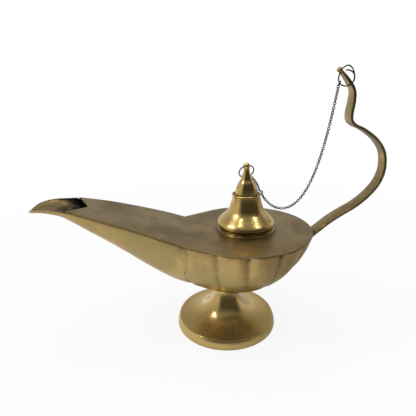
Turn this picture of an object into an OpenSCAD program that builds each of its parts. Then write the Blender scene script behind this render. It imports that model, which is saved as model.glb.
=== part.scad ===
// Brass oil lamp of the long-spouted kind: lobed bowl on a trumpet foot, flat bent
// top plate, bell-shaped neck with a lift-out stopper, tall strap handle and a fine
// cable chain that ties the stopper to the handle's tip.
// Frame: millimetres, +Z up, spout towards -X, handle towards +X. The origin is the
// centre of the foot's underside, on the surface that the lamp stands on.

/* [Foot] */
// Radius of the foot where it rests
foot_r = 52.8; // [48:0.2:60]
// Radius of the crisp edge at the top of the rim band
foot_rim_r = 50.4; // [46:0.2:52.6]
// Height of the rim band
foot_rim_h = 9.5; // [6:0.5:12]
// Wall thickness of the foot
foot_wall = 2.4; // [1.6:0.1:3]

/* [Bowl] */
// Radius of the bowl at its rim, over the lobes
bowl_r = 66; // [65:0.1:66.4]
// Height of the bowl's floor above the table
bowl_floor_z = 47; // [47:0.1:48]
// Distance from the foot's axis to the bowl's axis at the rim
bowl_x = 20.6; // [18:0.2:22]
// Distance that the bowl's axis leans back towards the foot at its floor
bowl_lean = 15; // [10:0.5:16]
// Exponent of the bowl's profile, smaller is fuller
bowl_full = 0.8; // [0.7:0.01:0.9]
// Wall thickness of the bowl
bowl_wall = 1.6; // [1.2:0.1:2]
// Number of lobes round the bowl, odd so that one of them faces the handle
lobes = 11; // [7:2:13]
// Depth of the creases between the lobes, as a share of the radius
lobe_depth = 0.055; // [0.02:0.005:0.08]

/* [Top plate] */
// Height of the plate's upper face above the table
plate_z = 107.8; // [107:0.1:109]
// Radius of the plate over the bowl
plate_r = 66.5; // [66:0.1:68]
// Thickness of the plate
plate_t = 1.2; // [1:0.1:1.4]
// Place of the fold where the plate turns up along the spout
fold_x = -42.4; // [-44:0.2:-41]
// Slope of the plate just past the fold, in degrees
fold_angle = 20.4; // [19:0.1:21]
// Radius of the plate's gentle bend along the spout
plate_bend_r = 810; // [700:10:900]
// Radius of the filling hole
fill_hole_r = 20; // [17:0.5:21]

/* [Spout] */
// Wall thickness of the spout
spout_wall = 1.4; // [1:0.1:1.6]
// How far the plate's edge overhangs the spout's side
plate_lap = 0.8; // [0.4:0.1:1.2]
// Place of the two corners of the notch at the plate's end
notch_corner_x = -150.4; // [-152:0.2:-149]
// Place of the notch's inner point
notch_point_x = -135.4; // [-138:0.2:-132]

/* [Neck and stopper] */
// Radius of the neck's lip on the plate
neck_lip_r = 29.2; // [28.8:0.1:30]
// Height of the neck's rolled rim above the plate
neck_h = 36.1; // [35.8:0.1:36.6]
// Radius over the rolled rim
neck_rim_r = 14.4; // [14.2:0.1:14.8]
// Depth of the seat below the rim's middle
seat_drop = 1; // [0.8:0.1:1.6]
// Radius of the stopper's plug
plug_r = 9.9; // [9.5:0.1:10]
// Length of the stopper's plug
plug_h = 12; // [8:0.5:13]
// Radius of the stopper's dome at its base
dome_r = 11.2; // [10.8:0.1:11.4]
// Height of the finial's top above the plate
finial_top = 68; // [67:0.1:69]
// Radius of the finial's shank
shank_r = 3; // [2.8:0.1:3.2]
// Turn of the finial's eye about the vertical, in degrees
eye_turn = 12; // [6:1:18]

/* [Rings and chain] */
// Radius of the finial's ring, to the middle of the wire
ring_r = 7.5; // [7.4:0.1:7.6]
// Radius of the ring wire
ring_wire_r = 0.6; // [0.5:0.05:0.65]
// Angle at which the finial's ring leans back on the dome
finial_ring_lean = 28; // [26:0.5:30]
// Angle by which the chain pulls the finial's ring aside in its own plane
finial_ring_pull = 8; // [4:1:12]
// Angle at which the handle's ring leans out over the bar's edge
handle_ring_lean = 8.6; // [8:0.2:9.6]
// Turn of the handle's ring about the vertical in its loose hole
handle_ring_turn = -25; // [-26:0.5:-24]
// Length inside one chain link
link_in = 2.25; // [2.2:0.05:2.3]
// Width inside one chain link
link_gap = 1.45; // [1.4:0.05:1.5]
// Radius of the chain's wire
link_wire_r = 0.36; // [0.33:0.01:0.37]

/* [Handle] */
// Width of the handle's bar at its foot
bar_w = 15.4; // [14.4:0.2:16]
// Thickness of the handle's bar
bar_t = 2.7; // [2.4:0.1:3]
// Width of the bar at its tip
bar_tip_w = 6.6; // [6.2:0.1:7]
// Radius of the knob at the bar's tip
knob_r = 2.7; // [2.4:0.1:3]

/* [Wick] */
// Radius of the cotton wick
wick_r = 2.8; // [2:0.1:3]

/* [Hidden] */
fine = 72;
eps = 0.01;

polished = "goldenrod";
dull = "darkkhaki";
olive = "olive";
dark = "dimgray";

// Smooth curve through the rows of a table, by its first column

function row_of(t, x, i = 0) = (i >= len(t) - 2 || x < t[i + 1][0]) ? i : row_of(t, x, i + 1);
function slope_at(t, i, c) =
    let (a = max(i - 1, 0), b = min(i + 1, len(t) - 1))
    (t[b][c] - t[a][c]) / (t[b][0] - t[a][0]);
function smooth(t, x, c) =
    let (
        i = row_of(t, x),
        d = t[i + 1][0] - t[i][0],
        u = (x - t[i][0]) / d,
        a = slope_at(t, i, c) * d,
        b = slope_at(t, i + 1, c) * d,
        rise = t[i + 1][c] - t[i][c]
    )
    t[i][c] + a * u + (3 * rise - 2 * a - b) * u * u + (a + b - 2 * rise) * u * u * u;

// Smooth curve through points in space, by their order

function numbered(p) = [for (i = [0:len(p) - 1]) concat([i], p[i])];
function along(p, u) = let (t = numbered(p)) [for (c = [1:len(p[0])]) smooth(t, u, c)];

function unit(v) = v / norm(v);

// Closed solid between two grids of points, outer[i][j] and inner[i][j]. Cells for
// which open[i][j] is true are left out, and every free edge gets a wall.

module thick_grid(outer, inner, open, wrap) {
    n = len(outer);
    m = len(outer[0]);
    cells = wrap ? n : n - 1;
    function at(i, j, side) = side * n * m + (i % n) * m + j;
    function there(i, j) =
        j >= 0 && j < m - 1 && (wrap || (i >= 0 && i < cells)) && !open[(i + n) % n][j];
    function wall(a, b) = [[a, b, a + n * m], [b, b + n * m, a + n * m]];
    polyhedron(
        points = concat([for (r = outer) for (p = r) p], [for (r = inner) for (p = r) p]),
        faces = [
            for (i = [0:cells - 1]) for (j = [0:m - 2]) if (there(i, j))
                let (
                    a = at(i, j, 0),
                    b = at(i + 1, j, 0),
                    c = at(i + 1, j + 1, 0),
                    d = at(i, j + 1, 0),
                    k = n * m
                )
                each concat(
                    [[a, c, b], [a, d, c], [a + k, b + k, c + k], [a + k, c + k, d + k]],
                    there(i, j - 1) ? [] : wall(a, b),
                    there(i + 1, j) ? [] : wall(b, c),
                    there(i, j + 1) ? [] : wall(c, d),
                    there(i - 1, j) ? [] : wall(d, a)
                )
        ]
    );
}

// Round tube through points, with flat ends

function frame_at(p, i, up) =
    let (
        t = unit(p[min(i + 1, len(p) - 1)] - p[max(i - 1, 0)]),
        s = unit(cross(t, up))
    )
    [s, cross(s, t)];
module tube(p, r, sides, up) {
    last = (len(p) - 1) * sides;
    polyhedron(
        points = [
            for (i = [0:len(p) - 1])
                let (f = frame_at(p, i, up))
                for (k = [0:sides - 1])
                    p[i] + r * (cos(360 * k / sides) * f[0] + sin(360 * k / sides) * f[1])
        ],
        faces = concat(
            [[for (k = [sides - 1:-1:0]) k]],
            [[for (k = [0:sides - 1]) last + k]],
            [
                for (i = [0:len(p) - 2]) for (k = [0:sides - 1])
                    let (
                        a = i * sides + k,
                        b = i * sides + (k + 1) % sides
                    )
                    each [[a, b, a + sides], [b, b + sides, a + sides]]
            ]
        )
    );
}

// Foot: trumpet shape with a rim band, hollow underneath

screw_r = 3;
screw_depth = 14;
foot_top_z = bowl_floor_z;
// Height and radius of the trumpet, from the disc's edge up to the pad under the bowl
foot_shape = [
    [foot_rim_h, foot_rim_r], [9.9, 45], [11, 38.5], [13, 32], [16, 26.5], [20, 21.8],
    [25, 17.8], [31, 14.4], [37, 12.2], [42, 11.4], [foot_top_z, 12]
];
foot_under_top_z = 24;

module foot() {
    disc_in_r = foot_r - 3.2;
    top = [for (k = [0:40])
        let (z = foot_rim_h + (foot_top_z - foot_rim_h) * pow(k / 40, 1.8))
        [smooth(foot_shape, z, 1), z]];
    under = [for (k = [0:24])
        let (z = foot_rim_h + (foot_under_top_z - foot_rim_h) * pow(k / 24, 1.6))
        [smooth(foot_shape, z, 1) - foot_wall * 1.4, z - foot_wall]];
    color(polished) difference() {
        rotate_extrude($fn = fine * 2) polygon(concat(
            [[disc_in_r, 0], [foot_r, 0], [foot_r, 0.8]],
            top,
            [[0, foot_top_z], [0, under[24][1]]],
            [for (k = [24:-1:0]) under[k]]
        ));
        translate([0, 0, foot_top_z - screw_depth])
            cylinder(r = screw_r, h = screw_depth + 1, $fn = fine / 2);
    }
}

// Screw that holds the foot to the bowl's floor, and the washer that seals it

washer_r = 7.5;
washer_t = 1.2;
floor_top_z = bowl_floor_z + bowl_wall;

module foot_screw() {
    head_h = 3;
    shank_end = foot_top_z - screw_depth + 1;
    color(dark) difference() {
        union() {
            translate([0, 0, shank_end])
                cylinder(r = screw_r, h = floor_top_z + washer_t - shank_end + 1, $fn = fine / 2);
            translate([0, 0, floor_top_z + washer_t]) rotate_extrude($fn = fine)
                polygon([[0, 0], [6, 0], [6, 1.2], [5.4, 2.1], [4.2, 2.7], [2.4, head_h], [0, head_h]]);
        }
        translate([-0.6, -8, floor_top_z + washer_t + 1.6]) cube([1.2, 16, 4]);
    }
}

module sealing_washer() {
    color("saddlebrown") translate([0, 0, floor_top_z]) difference() {
        cylinder(r = washer_r, h = washer_t, $fn = fine);
        translate([0, 0, -1]) cylinder(r = screw_r + 0.1, h = washer_t + 2, $fn = fine / 2);
    }
}

// Bowl: lobed, its axis leaning back to the foot, straight-sided past the flare line
// where it opens out to meet the spout

rim_z = plate_z - plate_t;
seam_angle = 150;
flare_angle = 120;
hole_in_floor_r = screw_r + 0.1;
// Angle that one lobe takes, of the rim's axis
lobe_angle = 2 * seam_angle / lobes;
// How near to a crease the angle is: 0 on a lobe's crest, 1 in the creases beside it
function crease_share(plane) =
    let (s = plane >= seam_angle ? 1 : 2 * (plane / lobe_angle - round(plane / lobe_angle)))
    0.5 * s * s + 0.5 * pow(s, 4);
function flare(a) =
    a <= flare_angle ? 1
    : a <= seam_angle ? 1 / cos(a - flare_angle)
    : cos(seam_angle) / (cos(seam_angle - flare_angle) * cos(a));
// The creases lie in upright planes through the rim's axis. A plane at one angle meets the
// section at profile angle u (90 at the rim) at another, because that section leans away
function lean_share(u) = bowl_lean / bowl_r * cos(u);
function section_angle(plane, u) = plane - asin(lean_share(u) * sin(plane));
function plane_angle(a, u, n = 3) =
    n == 0 ? a : a + asin(lean_share(u) * sin(plane_angle(a, u, n - 1)));
// Share of the bowl's radius at angle a of its section
function bowl_reach(a, plane, u) =
    pow(sin(u), bowl_full) * flare(a) * (1 - lobe_depth * sin(u) * crease_share(plane));
function bowl_axis(u) = bowl_x - bowl_lean * cos(u);
// The floor is flat under the washer, as far as this profile angle
flat_u = 11;
function bowl_z(u, floor_z) = floor_z + (rim_z - floor_z) * (1 - cos(u));
function bowl_point(angle, u, thin) =
    let (
        plane = angle > 180 ? 360 - angle : angle,
        a = section_angle(plane, u),
        r = (bowl_r - thin) * bowl_reach(a, plane, u),
        z = bowl_z(u, bowl_floor_z + thin)
    )
    [
        bowl_axis(u) + r * cos(a), (angle > 180 ? -1 : 1) * r * sin(a),
        u >= 90 ? rim_z : u > flat_u ? z : bowl_floor_z + thin
    ];

half_lobe_steps = 4;
bowl_angles = let (
        half = concat(
            [for (k = [0:half_lobe_steps * lobes - 1]) lobe_angle / 2 * k / half_lobe_steps],
            [for (s = [0:3]) seam_angle + (180 - seam_angle) * s / 4]
        ))
    concat(half, [180], [for (k = [len(half) - 1:-1:1]) 360 - half[k]]);
bowl_steps = [7, 11, 16, 22, 29, 36, 43, 50, 57, 64, 71, 78, 84, 90];
// The port through which oil and wick pass from the bowl into the spout
port_angle = 164;
port_low = 36;
port_high = 64;

module bowl() {
    function hole_point(a, z) = [hole_in_floor_r * cos(a), hole_in_floor_r * sin(a), z];
    function skin(thin, floor_z) =
        [for (a = bowl_angles)
            concat([hole_point(a, floor_z)], [for (u = bowl_steps) bowl_point(a, u, thin)])];
    function in_port(a, b, j) =
        b > a && a > port_angle - eps && b < 360 - port_angle + eps
        && j > 0 && bowl_steps[j - 1] > port_low - eps && bowl_steps[j] < port_high + eps;
    open = [for (i = [0:len(bowl_angles) - 1])
        [for (j = [0:len(bowl_steps) - 1])
            in_port(bowl_angles[i], bowl_angles[(i + 1) % len(bowl_angles)], j)]];
    color(dull)
        thick_grid(skin(0, bowl_floor_z), skin(bowl_wall, floor_top_z), open, true);
}

// Spout: a long shell of U-shaped sections, open at the top, that ends on the bowl

// Place, half width and top edge of the side wall, and height of the keel
beak = [
    [-192.6, 0.7, 133.4, 132.2],
    [-191.4, 5.4, 134.9, 132.3],
    [-188.4, 10.6, 137.0, 132.6],
    [-184.4, 14.6, 138.3, 133.2],
    [-179.4, 17.6, 139.1, 133.9],
    [-174.4, 19.4, 139.5, 133.9],
    [-168, 20.5, 139.6, 132.8],
    [-160, 21.0, 139.4, 129.6],
    [-150, 21.9, 139.2, 123.4],
    [-139, 24.0, 137.1, 115.8],
    [-120, 28.4, 132.5, 103.0],
    [-100, 31.2, 126.7, 88.6],
    [-80, 34.4, 120.2, 74.0],
    [-60, 37.6, 113.0, 60.6],
    [-42.4, 39.2, 106.6, 52.6],
    [-20, 40.5, 106.6, 47.4]
];
tip_x = beak[0][0];
// Upper face of the plate at x, flat over the bowl and bent up along the spout
function plate_top(x) =
    x >= fold_x ? plate_z
    : let (
        c = plate_bend_r * sin(fold_angle),
        along_x = fold_x - x
    )
    plate_z - plate_bend_r * cos(fold_angle)
        + sqrt(plate_bend_r * plate_bend_r - pow(c - along_x, 2));
function wall_top(x) =
    x < notch_corner_x ? smooth(beak, x, 2) : plate_top(x) - plate_t - 0.15;
function spout_point(x, a, thin) =
    let (
        w = max(smooth(beak, x, 1) - thin, 0.25),
        top = wall_top(x),
        keel = min(smooth(beak, x, 3) + thin, top - 0.3)
    )
    [x, -w * cos(a), top - (top - keel) * sin(a)];
seam_gap = 0.4;
// How far outside the bowl a point lies; the profile angle is found from its height
function outside_bowl(p) =
    let (
        u = acos(max(min(1 - (p[2] - bowl_floor_z) / (rim_z - bowl_floor_z), 1), 0)),
        dx = p[0] - bowl_axis(u),
        r = norm([dx, p[1]]),
        a = abs(atan2(p[1], dx))
    )
    r - bowl_r * bowl_reach(a, plane_angle(a, u), max(u, 2));
// The place along line a of the spout where it meets the bowl, by halving
function seam_x(a, thin, low = -70, high = -18, n = 22) =
    n == 0 ? low
    : let (mid = (low + high) / 2)
    outside_bowl(spout_point(mid, a, thin)) > seam_gap
        ? seam_x(a, thin, mid, high, n - 1) : seam_x(a, thin, low, mid, n - 1);

spout_columns = 28;

module spout() {
    function skin(thin) =
        [for (j = [0:spout_columns])
            let (a = 180 * j / spout_columns, end = seam_x(a, thin))
            let (from = tip_x + thin * 0.9, fold = min(fold_x, end - 0.8))
            [for (x = concat(
                [for (s = [0:8]) from + (notch_corner_x - from) * pow(s / 9, 1.4)],
                [for (s = [0:12]) notch_corner_x + (fold - notch_corner_x) * s / 13],
                [for (s = [0:4]) fold + (end - fold) * s / 4]
            )) spout_point(x, a, thin)]];
    open = [for (j = [0:spout_columns]) [for (i = [0:26]) false]];
    color(dull) thick_grid(skin(0), skin(spout_wall), open, false);
}

// Top plate: one sheet, cut to the outline and bent up along the spout

module plate_outline() {
    function edge_y(x) = smooth(beak, x, 1) + plate_lap;
    fold_y = edge_y(fold_x);
    side_xs = [for (s = [0:18]) fold_x + (notch_corner_x - fold_x) * s / 18];
    front = concat(
        [for (a = [0:4:flare_angle - 4]) [bowl_x + plate_r * cos(a), plate_r * sin(a)]],
        [[bowl_x + plate_r * cos(flare_angle), plate_r * sin(flare_angle)], [fold_x, fold_y]],
        [for (x = side_xs) if (x < fold_x - 1) [x, edge_y(x)]]
    );
    mirrored = [for (k = [len(front) - 1:-1:1]) [front[k][0], -front[k][1]]];
    polygon(concat(front, [[notch_point_x, 0]], mirrored));
}

module top_plate() {
    bend_xs = [for (s = [0:16]) fold_x + (notch_corner_x - 2 - fold_x) * s / 16];
    side_view = concat(
        [[bowl_x + plate_r + 5, plate_z], for (x = bend_xs) [x, plate_top(x)]],
        [for (k = [len(bend_xs) - 1:-1:0]) [bend_xs[k], plate_top(bend_xs[k]) - plate_t]],
        [[bowl_x + plate_r + 5, plate_z - plate_t]]
    );
    color(olive) difference() {
        intersection() {
            translate([0, 0, plate_z - 10]) linear_extrude(height = 60) plate_outline();
            translate([0, 70, 0]) rotate([90, 0, 0])
                linear_extrude(height = 140) polygon(side_view);
        }
        translate([bowl_x, 0, plate_z - 5]) cylinder(r = fill_hole_r, h = 10, $fn = fine);
    }
}

// Neck: a turned bell with a lip, a cove and a rolled rim, bored for the stopper

seat_z = neck_h - seat_drop;
bore_r = plug_r + 0.3;
// Radius of the recess that the stopper's flange sits in
recess_r = 12.6;
// Height above the plate and radius of the bell, over the cove
neck_shape = [
    [6.2, 29.0], [7.3, 29.1], [8.8, 28.5], [10.8, 27.0], [13, 24.8], [15.6, 22.1],
    [18.5, 19.4], [22, 17.3], [26, 15.9], [30, 14.7], [34, 13.9]
];

module neck_collar() {
    bead_r = 0.9;
    wall = 1.9;
    bell_foot_z = neck_shape[0][0];
    bell_top_z = neck_shape[len(neck_shape) - 1][0];
    bore_top_z = 29.5;
    outer = [for (k = [0:30])
        let (z = bell_foot_z + (bell_top_z - bell_foot_z) * k / 30)
        [smooth(neck_shape, z, 1), z]];
    bead = [for (a = [-60:20:140])
        [neck_rim_r - bead_r + bead_r * cos(a), neck_h + bead_r * sin(a)]];
    inner = [for (k = [20:-1:0])
        let (z = bell_foot_z + (bore_top_z - 1.5 - bell_foot_z) * k / 20)
        [min(smooth(neck_shape, z + 1, 1) - wall, fill_hole_r), z]];
    color(polished) translate([bowl_x, 0, plate_z]) rotate_extrude($fn = fine * 2)
        polygon(concat(
            [[fill_hole_r, 0], [neck_lip_r, 0], [neck_lip_r, 1.1], [neck_lip_r - 0.4, 1.5],
             [27.6, 1.9], [27.2, 3.3], [27.5, 4.7], [28.3, 5.6]],
            outer,
            bead,
            [[recess_r, neck_h], [recess_r, seat_z], [bore_r, seat_z], [bore_r, bore_top_z]],
            inner
        ));
}

// Stopper: a hollow domed cap with its plug, and a finial screwed into its crown

crown_z = 47.8;
crown_r = 8.2;
spigot_r = 2.4;
flange_r = recess_r - 0.3;
flange_t = 0.9;

module stopper_cap() {
    plug_wall = 1.8;
    // Height above the plate and radius of the dome
    dome_foot_z = seat_z + flange_t;
    dome_shape = [
        [dome_foot_z, dome_r], [38, dome_r - 0.2], [40.6, 10.6], [43.4, 10], [45.8, 9.1],
        [crown_z, crown_r]
    ];
    hollow_top = 42;
    dome = [for (k = [0:14])
        let (z = dome_foot_z + (crown_z - dome_foot_z) * k / 14)
        [smooth(dome_shape, z, 1), z]];
    color(polished) translate([bowl_x, 0, plate_z]) rotate_extrude($fn = fine * 2)
        polygon(concat(
            [[plug_r - plug_wall, seat_z - plug_h], [plug_r - 0.6, seat_z - plug_h],
             [plug_r, seat_z - plug_h + 1.2], [plug_r, seat_z], [flange_r, seat_z],
             [flange_r, dome_foot_z]],
            dome,
            [[spigot_r, crown_z], [spigot_r, hollow_top], [5.4, hollow_top],
             [plug_r - plug_wall, hollow_top - 3]]
        ));
}

eye_z = 64.7;
eye_r = 1.6;
tip_r = 3.2;

module finial() {
    // Height above the plate and radius of the finial
    finial_shape = [
        [crown_z, crown_r - 0.2], [49.2, 7.2], [50.8, 6.2], [52.4, 5.4], [54.6, 4.6], [57, 3.6],
        [60, shank_r], [62.5, 2.9], [finial_top - tip_r, tip_r]
    ];
    shaft = [for (k = [0:24])
        let (z = crown_z + (finial_top - tip_r - crown_z) * k / 24)
        [smooth(finial_shape, z, 1), z]];
    tip = [for (a = [15:15:90]) [tip_r * cos(a), finial_top - tip_r + tip_r * sin(a)]];
    color(polished) translate([bowl_x, 0, plate_z]) difference() {
        rotate_extrude($fn = fine) polygon(concat(
            [[0, 42.6], [spigot_r, 42.6], [spigot_r, crown_z]],
            shaft,
            [for (p = tip) [max(p[0], 0), p[1]]]
        ));
        translate([0, 0, eye_z]) rotate([0, 90, eye_turn])
            translate([0, 0, -10]) cylinder(r = eye_r, h = 20, $fn = fine / 2);
    }
}

// Rings

eye = [bowl_x, 0, plate_z + eye_z];
// Place and direction of the finial ring's plane: through the eye, leaning back
finial_ring_down = [
    -sin(eye_turn) * sin(finial_ring_lean), cos(eye_turn) * sin(finial_ring_lean),
    -cos(finial_ring_lean)
];
finial_ring_side = [cos(eye_turn), sin(eye_turn), 0];
// The wire bows inside the eye, so the ring hangs a little higher than its radius
ring_bow = 0.35;
finial_ring_mid = eye + (ring_r - ring_bow)
    * (cos(finial_ring_pull) * finial_ring_down + sin(finial_ring_pull) * finial_ring_side);

module ring_at(mid, side, down, r, wire) {
    n = cross(side, down);
    multmatrix([
        [side[0], down[0], n[0], mid[0]],
        [side[1], down[1], n[1], mid[1]],
        [side[2], down[2], n[2], mid[2]],
        [0, 0, 0, 1]
    ]) rotate_extrude($fn = fine) translate([r, 0]) circle(r = wire, $fn = 24);
}

module finial_ring() {
    color(dark) ring_at(finial_ring_mid, finial_ring_side, finial_ring_down, ring_r, ring_wire_r);
}

// Handle: a flat bar bent in the upright plane, widest in the grip, with a drilled tip

// Middle of the bar, as x and z, from the tang on the bowl's side to the tip
bar_line = [
    [79.7, 85.6], [83.1, 92], [86.6, 97.6], [91, 102.2], [95.6, 106.1], [101, 110.8],
    [107, 115.4], [113.8, 120], [121, 124.4], [130, 130],
    [140, 138.6], [149, 149.5], [153.8, 161.5], [154.3, 173.5], [151, 185.5],
    [142.5, 196.2], [130.5, 204.8], [121.4, 209.2], [117, 213.6], [116.1, 220],
    [117.3, 231.5], [116.6, 241], [110.7, 250], [103.6, 258]
];
// Distance from the tip along those points, and share of the bar's full width there
bar_widths = [
    [0, bar_tip_w / bar_w], [1, 0.6], [2, 0.74], [3, 0.92], [4, 0.98], [6, 0.94], [9.5, 0.83],
    [13, 0.91], [16, 1], [len(bar_line), 1]
];
bar_steps = 69;
tip_u = len(bar_line) - 1;
function bar_mid(u) = let (p = along(bar_line, u)) [p[0], 0, p[1]];
function bar_way(u) = unit(bar_mid(min(u + 0.02, tip_u)) - bar_mid(max(u - 0.02, 0)));
function bar_half_width(u) = bar_w / 2 * smooth(bar_widths, tip_u - u, 1);
function bar_half_thick(u) = (u > tip_u - 1 ? bar_t - 0.8 * (u - tip_u + 1) : bar_t) / 2;

hole_u = tip_u - 0.1;
tip_hole = bar_mid(hole_u);
tip_way = bar_way(hole_u);
// Axis of the drilled hole: across the bar, in the upright plane, pointing up and out
tip_axis = [tip_way[2], 0, -tip_way[0]];
tip_hole_r = 2;

module handle() {
    bevel = 0.5;
    function section(u) =
        let (
            p = bar_mid(u),
            t = bar_way(u),
            n = [-t[2], 0, t[0]],
            w = bar_half_width(u),
            h = bar_half_thick(u)
        )
        [for (c = [
            [w - bevel, -h], [w, bevel - h], [w, h - bevel], [w - bevel, h],
            [bevel - w, h], [-w, h - bevel], [-w, bevel - h], [bevel - w, -h]
        ]) p + [0, c[0], 0] + c[1] * n];
    rows = [for (i = [0:bar_steps]) section(tip_u * i / bar_steps)];
    color(dull) difference() {
        union() {
            polyhedron(
                points = [for (r = rows) for (p = r) p],
                faces = concat(
                    [[for (k = [0:7]) k]],
                    [[for (k = [7:-1:0]) bar_steps * 8 + k]],
                    [for (i = [0:bar_steps - 1]) for (k = [0:7])
                        let (a = i * 8 + k, b = i * 8 + (k + 1) % 8)
                        each [[a, a + 8, b], [b, a + 8, b + 8]]]
                )
            );
            translate(bar_mid(tip_u)) sphere(r = knob_r, $fn = 32);
        }
        translate(tip_hole) rotate([0, atan2(tip_axis[0], tip_axis[2]), 0])
            translate([0, 0, -8]) cylinder(r = tip_hole_r, h = 16, $fn = 32);
    }
}

// Ring through the handle's tip: one wire wound one and a half times and sprung open at
// the top, where it passes behind the tip

handle_ring_r = 6.85;
handle_ring_open = 3.9;
function turned(v) = [
    v[0] * cos(handle_ring_turn) - v[1] * sin(handle_ring_turn),
    v[0] * sin(handle_ring_turn) + v[1] * cos(handle_ring_turn),
    v[2]
];
handle_ring_down =
    turned(-cos(handle_ring_lean) * tip_way - [0, sin(handle_ring_lean), 0]);
handle_ring_side = turned(tip_axis);
handle_ring_face = cross(handle_ring_side, handle_ring_down);
handle_ring_mid = tip_hole + 8.33 * handle_ring_down;
coil_from = 35;
coil_to = 560;
coil_steps = 60;
function eased(x) = let (c = max(0, min(1, x))) c * c * (3 - 2 * c);
// Point of the wire at angle a, turning from the hole over the ring's top
function coil_point(a) =
    handle_ring_mid
    + handle_ring_r * (sin(a) * handle_ring_side - cos(a) * handle_ring_down)
    + handle_ring_open * eased((a - 300) / 105) * eased((500 - a) / 95) / sqrt(2)
        * (handle_ring_side - handle_ring_down)
    + 2.2 * ring_wire_r * (0.5 - eased((a - 250) / 220)) * handle_ring_face;

module handle_ring() {
    line = [for (i = [0:coil_steps]) coil_point(coil_from + (coil_to - coil_from) * i / coil_steps)];
    color(dark) tube(line, ring_wire_r, 8, handle_ring_face);
}

// Chain: oval links a quarter turn apart along a hanging curve. It runs from a small
// connecting ring on the handle's ring, down to the sag, up over the neck's rim and along
// the stopper's dome to the finial's ring

connector_r = 2.2;
connector_wire_r = 0.42;
connector_at = coil_point(276);
connector_way = unit([-0.35, 0.1, -1]);
connector_mid = connector_at + 0.45 * connector_way;

// Lowest point and size of the hanging curve
sag_x = 57.5;
sag_z = 127;
sag_a = 16.5;
function sag(x) =
    let (e = exp((x - sag_x) / sag_a))
    sag_z + sag_a * ((e + 1 / e) / 2 - 1);
// The curve's place at length s from its lowest point
function sag_place(s) =
    let (
        q = s / sag_a,
        x = sag_x + sag_a * ln(q + sqrt(q * q + 1)),
        side = (x - 40) / 62
    )
    [x, 3.2 - 3.6 * side, sag(x)];

chain_top = connector_mid + (connector_r - connector_wire_r - 0.05) * connector_way;
// Angle round the finial's ring at which the last link holds it, from the ring's bottom
finial_link_angle = 40;
finial_link_at = finial_ring_mid
    + ring_r * (cos(finial_link_angle) * finial_ring_down + sin(finial_link_angle) * finial_ring_side);
// The chain's way over the rolled rim and round the dome, up to the ring
chain_on_dome = [
    [38.1, 2.4, 140], [36.7, 1.5, 142.7], [36.1, 0.8, 145.7], [33.4, 0.2, 147.6], [32.5, 0, 150.6],
    [31.1, 1.5, 154.1], [28.5, 3.6, 157.6]
];
finial_link_way = unit(chain_on_dome[len(chain_on_dome) - 1] - finial_link_at);
chain_end = finial_link_at - (ring_wire_r + 0.05) * finial_link_way;
chain_line = concat(
    [chain_top],
    [for (s = [128:-6:-22]) sag_place(s)],
    chain_on_dome,
    [finial_link_at + 2.4 * finial_link_way, chain_end]
);
chain_fine = [for (i = [0:(len(chain_line) - 1) * 8]) along(chain_line, min(i / 8, len(chain_line) - 1))];
function lengths(p, i = 0, sum = 0) =
    i >= len(p) ? []
    : concat([sum], lengths(p, i + 1, i + 1 < len(p) ? sum + norm(p[i + 1] - p[i]) : sum));
chain_lengths = lengths(chain_fine);
chain_total = chain_lengths[len(chain_lengths) - 1];
chain_table = [for (i = [0:len(chain_fine) - 1]) concat([chain_lengths[i]], chain_fine[i])];
function linear_at(t, x) =
    let (i = row_of(t, x), u = (x - t[i][0]) / (t[i + 1][0] - t[i][0]))
    [for (c = [1:3]) t[i][c] + u * (t[i + 1][c] - t[i][c])];
links = round(chain_total / (link_in - 0.12));
pitch = (chain_total - link_in) / (links - 1);
// Links that hang from the handle's ring, and links that lie on the stopper
links_hanging = 51;
links_on_stopper = 9;
// Half turns of twist that the chain has beyond what its two ends need
spare_half_turns = 5;
// Rolls about the chain's line: its first link crosses the connecting ring squarely, and
// its last one crosses the finial's ring. The rest of the chain takes up the twist.
function level_of(way) = unit(cross(way, [0, 1, 0.01]));
function roll_of(side, way) = atan2(side * cross(way, level_of(way)), side * level_of(way));
connector_run = coil_point(280) - coil_point(272);
connector_across = unit(cross(connector_run, connector_way));
first_way = unit(linear_at(chain_table, 3) - chain_top);
first_roll = roll_of(cross(first_way, connector_across), first_way);
last_way = unit(chain_end - linear_at(chain_table, chain_total - 3));
finial_ring_run =
    cos(finial_link_angle) * finial_ring_side - sin(finial_link_angle) * finial_ring_down;
last_roll = roll_of(unit(cross(finial_ring_run, last_way)), last_way) - 90 * ((links - 1) % 2);
twist = last_roll - first_roll
    - 180 * (round((last_roll - first_roll) / 180) - spare_half_turns);

module link(mid, way, side, inside, gap, wire) {
    bend_r = gap / 2 + wire;
    half = (inside - gap) / 2;
    n = cross(way, side);
    multmatrix([
        [way[0], side[0], n[0], mid[0]],
        [way[1], side[1], n[1], mid[1]],
        [way[2], side[2], n[2], mid[2]],
        [0, 0, 0, 1]
    ]) union() {
        for (end = [0, 1]) mirror([end, 0, 0]) translate([half, 0, 0])
            rotate([0, 0, -90]) rotate_extrude(angle = 180, $fn = 24)
                translate([bend_r, 0]) circle(r = wire, $fn = 16);
        for (s = [-1, 1]) translate([-half, s * bend_r, 0]) rotate([0, 90, 0])
            cylinder(r = wire, h = 2 * half, $fn = 16);
    }
}

module chain_part(from, to) {
    for (k = [from:to]) {
        s = link_in / 2 + pitch * k;
        mid = linear_at(chain_table, s);
        ahead = linear_at(chain_table, min(s + 1.5, chain_total));
        behind = linear_at(chain_table, max(s - 1.5, 0));
        way = unit(ahead - behind);
        roll = first_roll + 90 * (k % 2) + twist * k / (links - 1);
        side = cos(roll) * level_of(way) + sin(roll) * cross(way, level_of(way));
        color(dark) link(mid, way, side, link_in, link_gap, link_wire_r);
    }
}

module connector_ring() {
    // Its plane lies along the chain's pull, across the wire that it loops over
    color(dark) ring_at(connector_mid, connector_across, connector_way, connector_r, connector_wire_r);
}

module chain_upper() {
    chain_part(0, links_hanging - 1);
}

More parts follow.
